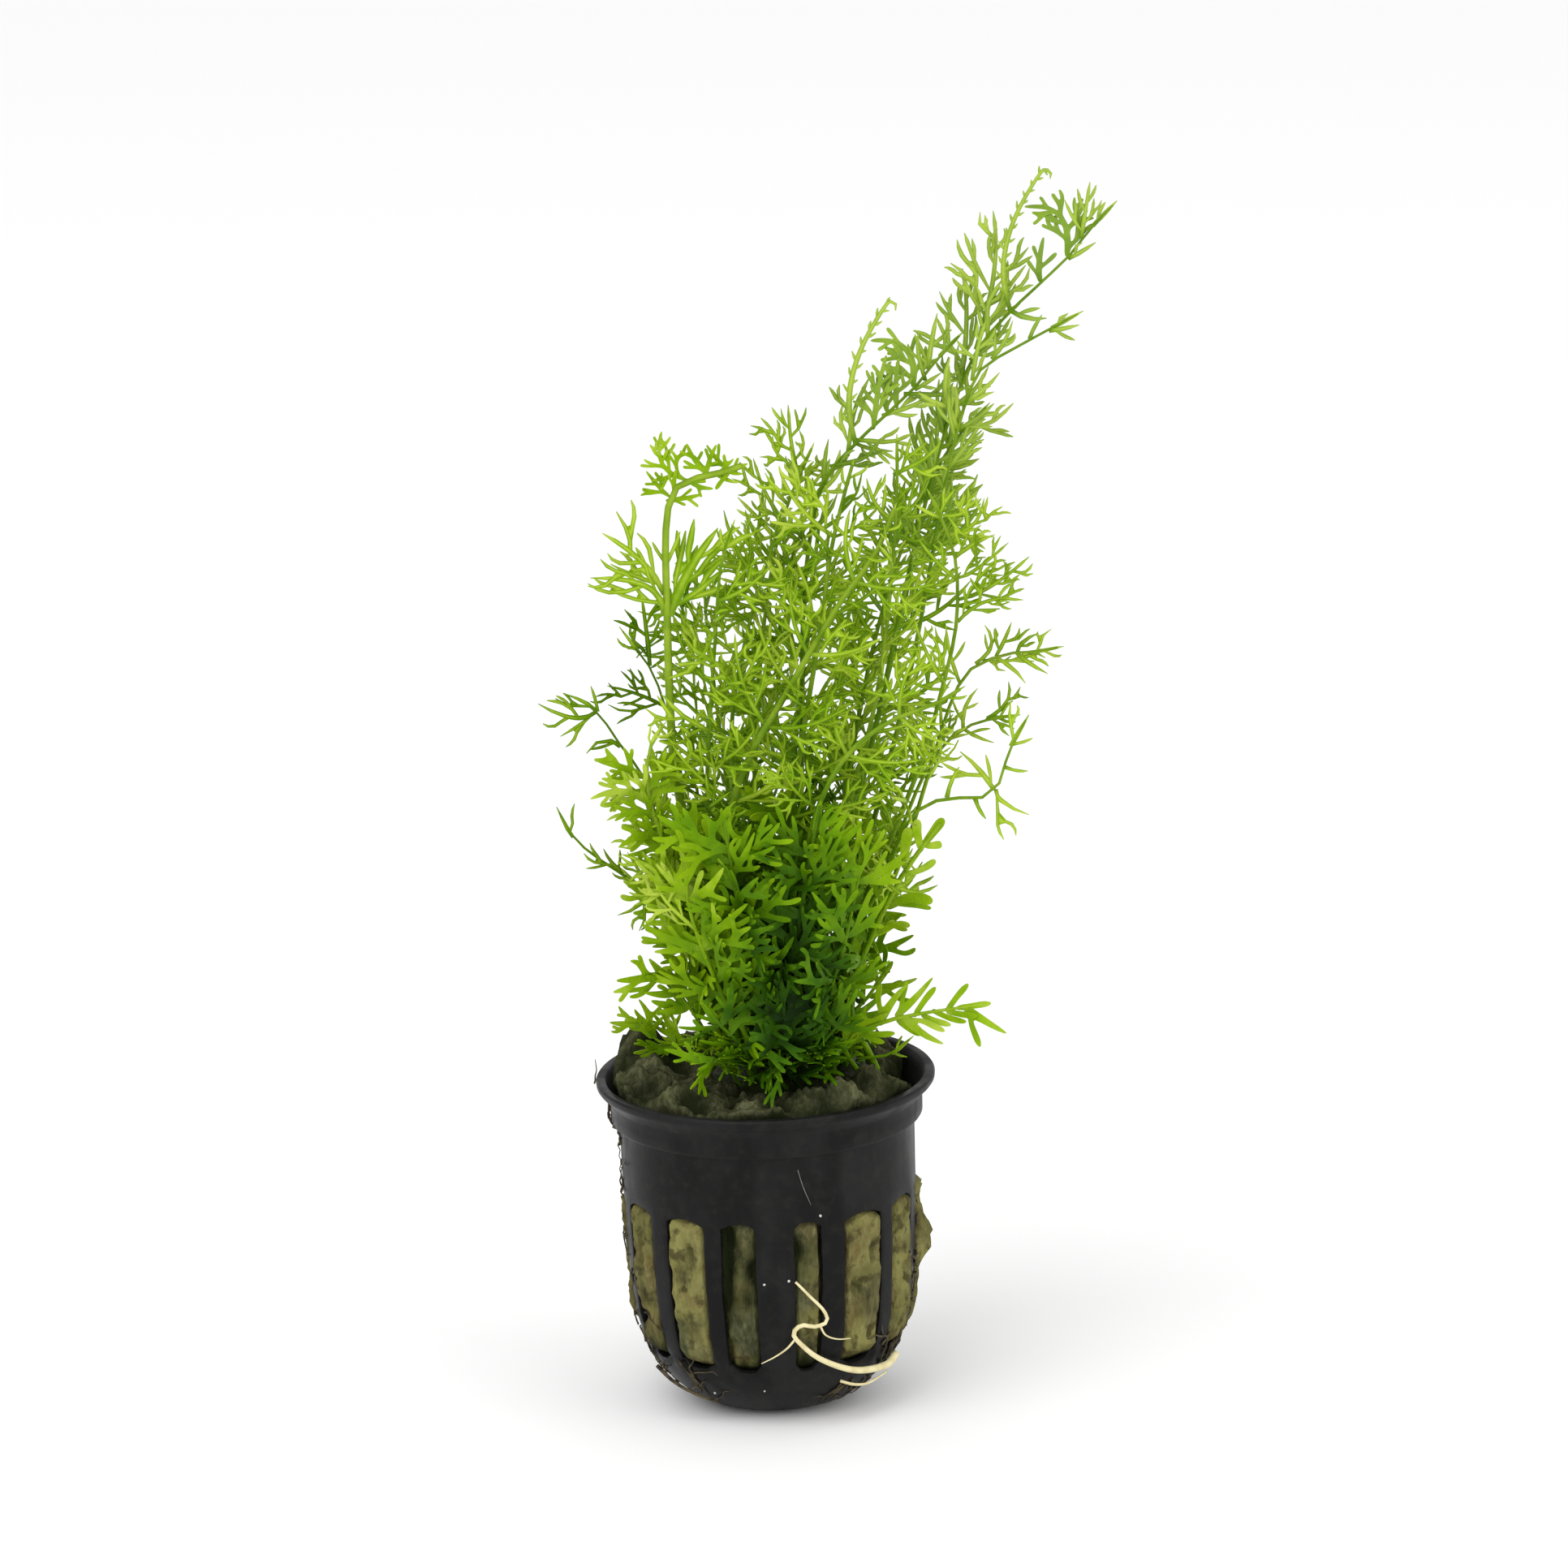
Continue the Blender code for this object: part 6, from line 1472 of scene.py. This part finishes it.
def slot_place(x, y):
    """Which slot a direction is nearest to, and how far it is from its middle, in slot pitches."""
    turn = (math.atan2(y, x) + math.pi / 2 - TURN) * SLOTS / math.tau
    return round(turn) % SLOTS, turn - round(turn)


def slot_edge(which, off, z):
    """How far a slot's uneven edge is from its middle, in slot pitches."""
    edge = SLOT_SIDES[which][off > 0]
    for depth, rate, slot_step, side_step, place in SLOT_WAVES:
        edge += depth * noise.noise(Vector((which * slot_step + (off > 0) * side_step, z * rate, place)))
    return edge


def stepped(profile, steps_of):
    """A profile with its long stretches parted into short ones."""
    places = [profile[0]]
    for one, two in zip(profile, profile[1:]):
        count = max(1, steps_of(two[0] - one[0], two[1] - one[1]))
        for k in range(1, count + 1):
            places.append(tuple(a + (b - a) * k / count for a, b in zip(one, two)))
    return places


def lathed(profile, steps):
    bm = bmesh.new()
    verts = [bm.verts.new((r, 0.0, z)) for r, z in profile]
    edges = [bm.edges.new(pair) for pair in zip(verts, verts[1:])]
    bmesh.ops.spin(bm, geom=verts + edges, cent=(0, 0, 0), axis=(0, 0, 1), angle=math.tau,
                   steps=steps, use_merge=True)
    bmesh.ops.remove_doubles(bm, verts=bm.verts, dist=1e-4)
    bmesh.ops.rotate(bm, verts=bm.verts, cent=(0, 0, 0), matrix=Matrix.Rotation(TURN - math.pi / 2, 3, "Z"))
    return bm


def shape_slot_edges(bm):
    """Move the wall's columns of faces to the uneven borders of the slots."""
    for vert in bm.verts:
        x, y, z = vert.co
        which, off = slot_place(x, y)
        amount = min(clamped((z - SLOT_LOW + 3.0) / 2.0), clamped((SLOT_HIGH + 3.0 - z) / 2.0))
        edge = slot_edge(which, off, z)
        far = abs(off)
        if far < SLOT_CUT:
            wide = far * edge / SLOT_CUT
        else:
            wide = edge + (far - SLOT_CUT) * (0.5 - edge) / SLOT_CUT
        angle = (wide - far) * math.copysign(amount, off) * math.tau / SLOTS
        vert.co.x = x * math.cos(angle) - y * math.sin(angle)
        vert.co.y = x * math.sin(angle) + y * math.cos(angle)
        corner = (min(far, SLOT_CUT) / SLOT_CUT) ** 3
        if far < SLOT_CUT + 0.01 and abs(z - SLOT_HIGH) < 0.1:
            vert.co.z -= CORNER_TOP * corner
        if far < SLOT_CUT + 0.01 and abs(z - SLOT_LOW) < 0.5:
            vert.co.z += CORNER_FOOT * corner


def pot_steps(out, up):
    return math.ceil(abs(up) / RING_STEP)


def build_pot(look):
    profile = stepped(POT_OUTER, pot_steps) + stepped(POT_INNER, pot_steps)
    bm = lathed(profile, SLOTS * 8)
    holes = []
    for face in bm.faces:
        middle = face.calc_center_median()
        if SLOT_LOW < middle.z < SLOT_HIGH and abs(face.normal.z) < 0.9:
            if abs(slot_place(middle.x, middle.y)[1]) < SLOT_CUT:
                holes.append(face)
    shape_slot_edges(bm)
    doomed = set(holes)
    rims = [e for e in bm.edges if len([f for f in e.link_faces if f in doomed]) == 1]
    bmesh.ops.delete(bm, geom=holes, context="FACES")
    groups = {}
    for edge in rims:
        middle = (edge.verts[0].co + edge.verts[1].co) / 2
        groups.setdefault(slot_place(middle.x, middle.y)[0], []).append(edge)
    for group in groups.values():
        bmesh.ops.bridge_loops(bm, edges=group)
    outward(bm)
    bmesh.ops.bevel(bm, geom=[e for e in rims if e.is_valid], offset=EDGE_ROUND, segments=2, profile=0.5,
                    affect="EDGES", material=-1)
    dress(bm, "slotted_pot", look, ("net_pot",), POT_CREASE)


def build_specks(look):
    """White grains that stick to the pot."""
    bm = bmesh.new()
    for x, y, z, size in SPECKS:
        place = Vector((x, y, z))
        for vert in bmesh.ops.create_icosphere(bm, subdivisions=2, radius=size / 2)["verts"]:
            vert.co += place + vert.co * 0.5 * noise.noise(vert.co * 3 + place)
    dress(bm, "grains", look)


# rock wool


def wool_steps(out, up):
    return round(math.hypot(out, up) / WOOL_STEP)


def wall_radius(z):
    """Radius of the pot's outside at a height."""
    return float(np.interp(z, [place[1] for place in POT_OUTER], [place[0] for place in POT_OUTER]))


def mound(x, y, px, py, spread):
    """A round rise about a place of the wool's top."""
    return math.exp(-((x - px) ** 2 + (y - py) ** 2) / spread ** 2)


def rough_at(x, y, z, octaves=4, roughness=0.9, gap=2.1):
    return noise.fractal(Vector((x, y, z)), roughness, gap, octaves)


def wool_fold(x, y):
    """Folds of the wool's torn top: about 0 in a crease and 1 on a ridge."""
    bend = 2.2 * noise.noise(Vector((x, y, 9.0)) * 0.14)
    place = Vector(((x + bend) / FOLD_SIZE, (y * 1.25 - bend) / FOLD_SIZE, 3.7))
    return noise.ridged_multi_fractal(place, 0.9, 2.1, 4, 1.0, 2.0) / 1.6


def wool_top(x, y):
    """Height of the wool's top, which is level round the rootstock."""
    away = math.hypot(x - CROWN[0], (y - CROWN[1]) / CROWN_DEEP)
    seat = clamped((away - 10.0) / 4.5)
    height = WOOL_TOP
    for px, py, spread, rise in WOOL_LUMPS:
        height += seat * rise * mound(x, y, px, py, spread)
    rough = rough_at(x * 0.55, y * 0.55, 0.55)
    crumb = rough_at(x * 1.5, y * 1.5, 12.0, octaves=3, roughness=0.8)
    return height + seat * (FOLD_RISE * (wool_fold(x, y) - 0.50) + 0.7 * rough + 0.28 * crumb)


def wool_side(point):
    """The same point of the wool's side, pushed out of the slot that it is behind."""
    which, off = slot_place(point.x, point.y)
    edge = slot_edge(which, off, point.z)
    inside = clamped((edge - 0.015 - abs(off)) / 0.05)
    ends = min(clamped((point.z - SLOT_LOW - 0.4) / 2.2), clamped((SLOT_HIGH - 0.2 - point.z) / 1.1))
    share = inside * ends
    if share <= 0:
        return point
    stand = WOOL_STAND[which]
    for slot, height, middle, spread, rise in WOOL_BUMPS:
        if slot == which:
            stand += rise * math.exp(-((point.z - height) / spread) ** 2 - ((off - middle) / BUMP_WIDE) ** 2)
    lump = rough_at(*(point * 0.22 + Vector((0, 0, which * 3.1))), octaves=3)
    hair = rough_at(*(point * 1.1), octaves=3, roughness=0.8, gap=2.2)
    pit = max(0.0, noise.noise(Vector((which * 3.7, off * 5.0, point.z * 0.2))) - 0.12)
    radius = math.hypot(point.x, point.y)
    goal = wall_radius(point.z) + stand + 0.55 * lump + 0.18 * hair - 2.6 * pit
    scale = (radius + (goal - radius) * share * (2 - share)) / radius
    return Vector((point.x * scale, point.y * scale, point.z))


def wool_damp_and_shade(point, on_top):
    """How dark the wool is, from its place: its dampness, darker towards the bottom of the slots, with
    painted shade in its recesses, in the creases of the top's folds and at the dark places over its pits, and
    lighter on the folds' ridges, which is painted light, and at its drier places.
    """
    cloud = rough_at(point.x * 0.13, point.y * 0.13, point.z * 0.16, octaves=3)
    if on_top:
        # lighter on the ridges of the top's folds and darker in their creases: painted light and shade
        dry_and_ridge_light = 1.5 * clamped(wool_fold(point.x, point.y) - 0.48)
        for x, y, spread, share in DRY_TOP:
            dry_and_ridge_light += share * mound(point.x, point.y, x, y, spread)
        return clamped(1.06 - dry_and_ridge_light + 0.30 * cloud)
    which, off = slot_place(point.x, point.y)
    # darker where the wool lies inside the wall's outer face: painted shade in its recesses
    recess_shade = max(0.0, wall_radius(point.z) - math.hypot(point.x, point.y)) * 0.25
    # darker towards the bottom of the slots, and at the dark places
    darkening = max(0.0, (14.0 - point.z) / 8.0)
    for slot, middle, height, across, up, share in DARK_PLACES:
        if slot == which:
            darkening += share * math.exp(-((off - middle) / across) ** 2 - ((point.z - height) / up) ** 2)
    return clamped(DAMP_SLOTS[which] + 0.45 * cloud + recess_shade + darkening)


def wool_moss(point, x, y, z):
    """Share of grey wool, which is all of it above the slots."""
    if z > WOOL_NECK:
        return 1.0
    patch = noise.noise(point * 0.21) * clamped((36.0 - z) / 30.0)
    grey = GREY_SLOTS.get(slot_place(x, y)[0], 0.0) * clamped((z - 10.0) / 14.0)
    return clamped(patch * 2.0 + grey)


def build_wool(look):
    bm = lathed(stepped(WOOL_PROFILE, wool_steps), SLOTS * 24)
    damp, moss = (bm.verts.layers.float.new(name) for name in ("damp", "moss"))
    for vert in bm.verts:
        x, y, z = vert.co
        on_top = z > WOOL_TOP - 0.01
        if on_top:
            vert.co.z = wool_top(x, y)
        elif z > WOOL_NECK:
            vert.co.z += (wool_top(x, y) - WOOL_TOP) * clamped((z - WOOL_NECK) / 6.0) ** 2
        else:
            vert.co = wool_side(vert.co)
        vert[damp] = wool_damp_and_shade(vert.co, on_top)
        vert[moss] = wool_moss(vert.co, x, y, z)
    outward(bm)
    dress(bm, "wool_plug", look, ("rock_wool",))


def build_crown(look):
    bm = bmesh.new()
    bmesh.ops.create_uvsphere(bm, u_segments=96, v_segments=48, radius=1.0)
    for vert in bm.verts:
        x, y = CROWN[0] + vert.co.x * CROWN_WIDE, CROWN[1] + vert.co.y * CROWN_WIDE * CROWN_DEEP
        rough = rough_at(x * 0.5, y * 0.5, 1.0)
        ropy = max(0.0, 1.0 - abs(noise.noise(Vector((x * 0.35, y * 0.35, 5.0)))) * 4)
        if vert.co.z > 0:
            vert.co = Vector((x, y, crown_height(x, y) - 0.9 + 0.7 * rough + 0.5 * ropy))
        else:
            vert.co = Vector((x, y, CROWN[2] - 1.2 + vert.co.z))
    dress(bm, "rootstock", look, ("crown",))


# roots


def build_roots(looks):
    for name, widths, line, branches, look in ROOTS:
        bm = bmesh.new()
        path = Path(line)
        count = max(10, int(path.length / 0.9))
        tube(bm, path, widths, ROOT_FACE, 10, [0.985 * k / count for k in range(count + 1)])
        for thin, points in branches:
            tube(bm, Path(points), (thin, thin * 0.4), ROOT_FACE, 6, shares(14))
        outward(bm)
        dress(bm, name.replace("root_", "rootlet_"), looks[look], (name,))


def build_tangles(look):
    """Thin dark rootlets that cling to the pot's lower wall and edges."""
    bm = bmesh.new()
    chance = random.Random(31)
    for turn, height, spread, count, size in TANGLES:
        for _ in range(count):
            angle = math.radians(turn + chance.gauss(0, spread * 2.2)) - math.pi / 2
            z = height + chance.gauss(0, spread)
            heading = chance.uniform(0, math.tau)
            line = []
            for _ in range(TANGLE_STEPS):
                low = max(z, TANGLE_FOOT)
                radius = wall_radius(low) + chance.uniform(0.05, 0.5)
                line.append((radius * math.cos(angle), radius * math.sin(angle), low))
                heading += chance.uniform(-0.9, 0.9)
                angle += size * math.cos(heading) / radius
                z += size * math.sin(heading)
            tube(bm, Path(line, 2), (chance.uniform(0.2, 0.55), 0.12), ROOT_FACE, 5, shares(10))
    outward(bm)
    dress(bm, "root_tangles", look)


def build_fibre(look):
    bm = bmesh.new()
    tube(bm, Path(FIBRE), (0.16, 0.10), ROOT_FACE, 6, shares(12))
    outward(bm)
    dress(bm, "wool_fibre", look)


# setting


def build_stage():
    bm = bmesh.new()
    bmesh.ops.create_grid(bm, x_segments=1, y_segments=1, size=FLOOR_SIZE)
    floor = placed("floor", mesh_of(bm, "floor"))
    floor.data.materials.append(new_finish("pale_floor", FLOOR, roughness=0.9, sheen=0.1)[0])
    world = bpy.data.worlds.new("studio")
    bpy.context.scene.world = world
    world.use_nodes = True
    back = world.node_tree.nodes["Background"]
    back.inputs["Color"].default_value = (1.0, 1.0, 1.0, 1)
    back.inputs["Strength"].default_value = WORLD_LIGHT
    for name, place, size, power in LIGHTS:
        lamp = bpy.data.lights.new(name, "AREA")
        lamp.shape, lamp.size, lamp.energy = "DISK", size, power
        light = placed(name, lamp)
        light.location = place
        light.rotation_euler = (LIT - Vector(place)).to_track_quat("-Z", "Y").to_euler()


def build_camera():
    lens = bpy.data.cameras.new("view")
    lens.sensor_width, lens.lens, lens.clip_end = SENSOR, FOCAL, VIEW_END
    camera = placed("view", lens)
    down = Matrix.Rotation(math.radians(90.0 - ELEVATION), 3, "X")
    roll = Matrix.Rotation(math.radians(-ROLL), 3, "Z")
    camera.matrix_world = Matrix.Translation(CAMERA_PLACE) @ (down @ roll).to_4x4()
    bpy.context.scene.camera = camera


def main():
    bpy.context.scene.view_settings.view_transform = "Standard"
    build_camera()
    build_stage()
    mottle_group()
    living_green_group()
    looks = {}
    for name, (lift, dull, slot) in LEAF_LOOKS.items():
        looks[name] = (leaf_material(name, lift, dull), slot)
    for name, (colour, spots, share, slot) in SPOTTED_LOOKS.items():
        looks[name] = (spotted_material(name, colour, spots, share), slot)
    build_pot((plastic_material(), "net_pot"))
    build_wool((wool_material(), "rock_wool"))
    build_crown(looks["rootstock"])
    build_roots(looks)
    build_tangles(looks["root_brown"])
    build_specks(looks["pale_grain"])
    build_fibre(looks["grey_fibre"])
    slots = {row["node"]: row["material_slot"] for row in frame["record"]["subparts"]}
    for number, plan in enumerate(plan_fronds()):
        in_plume = plan.name.startswith(("plume", "second"))
        build_frond(plan, number, looks["leaf_plume" if in_plume else slots["frond_" + plan.name]])


main()
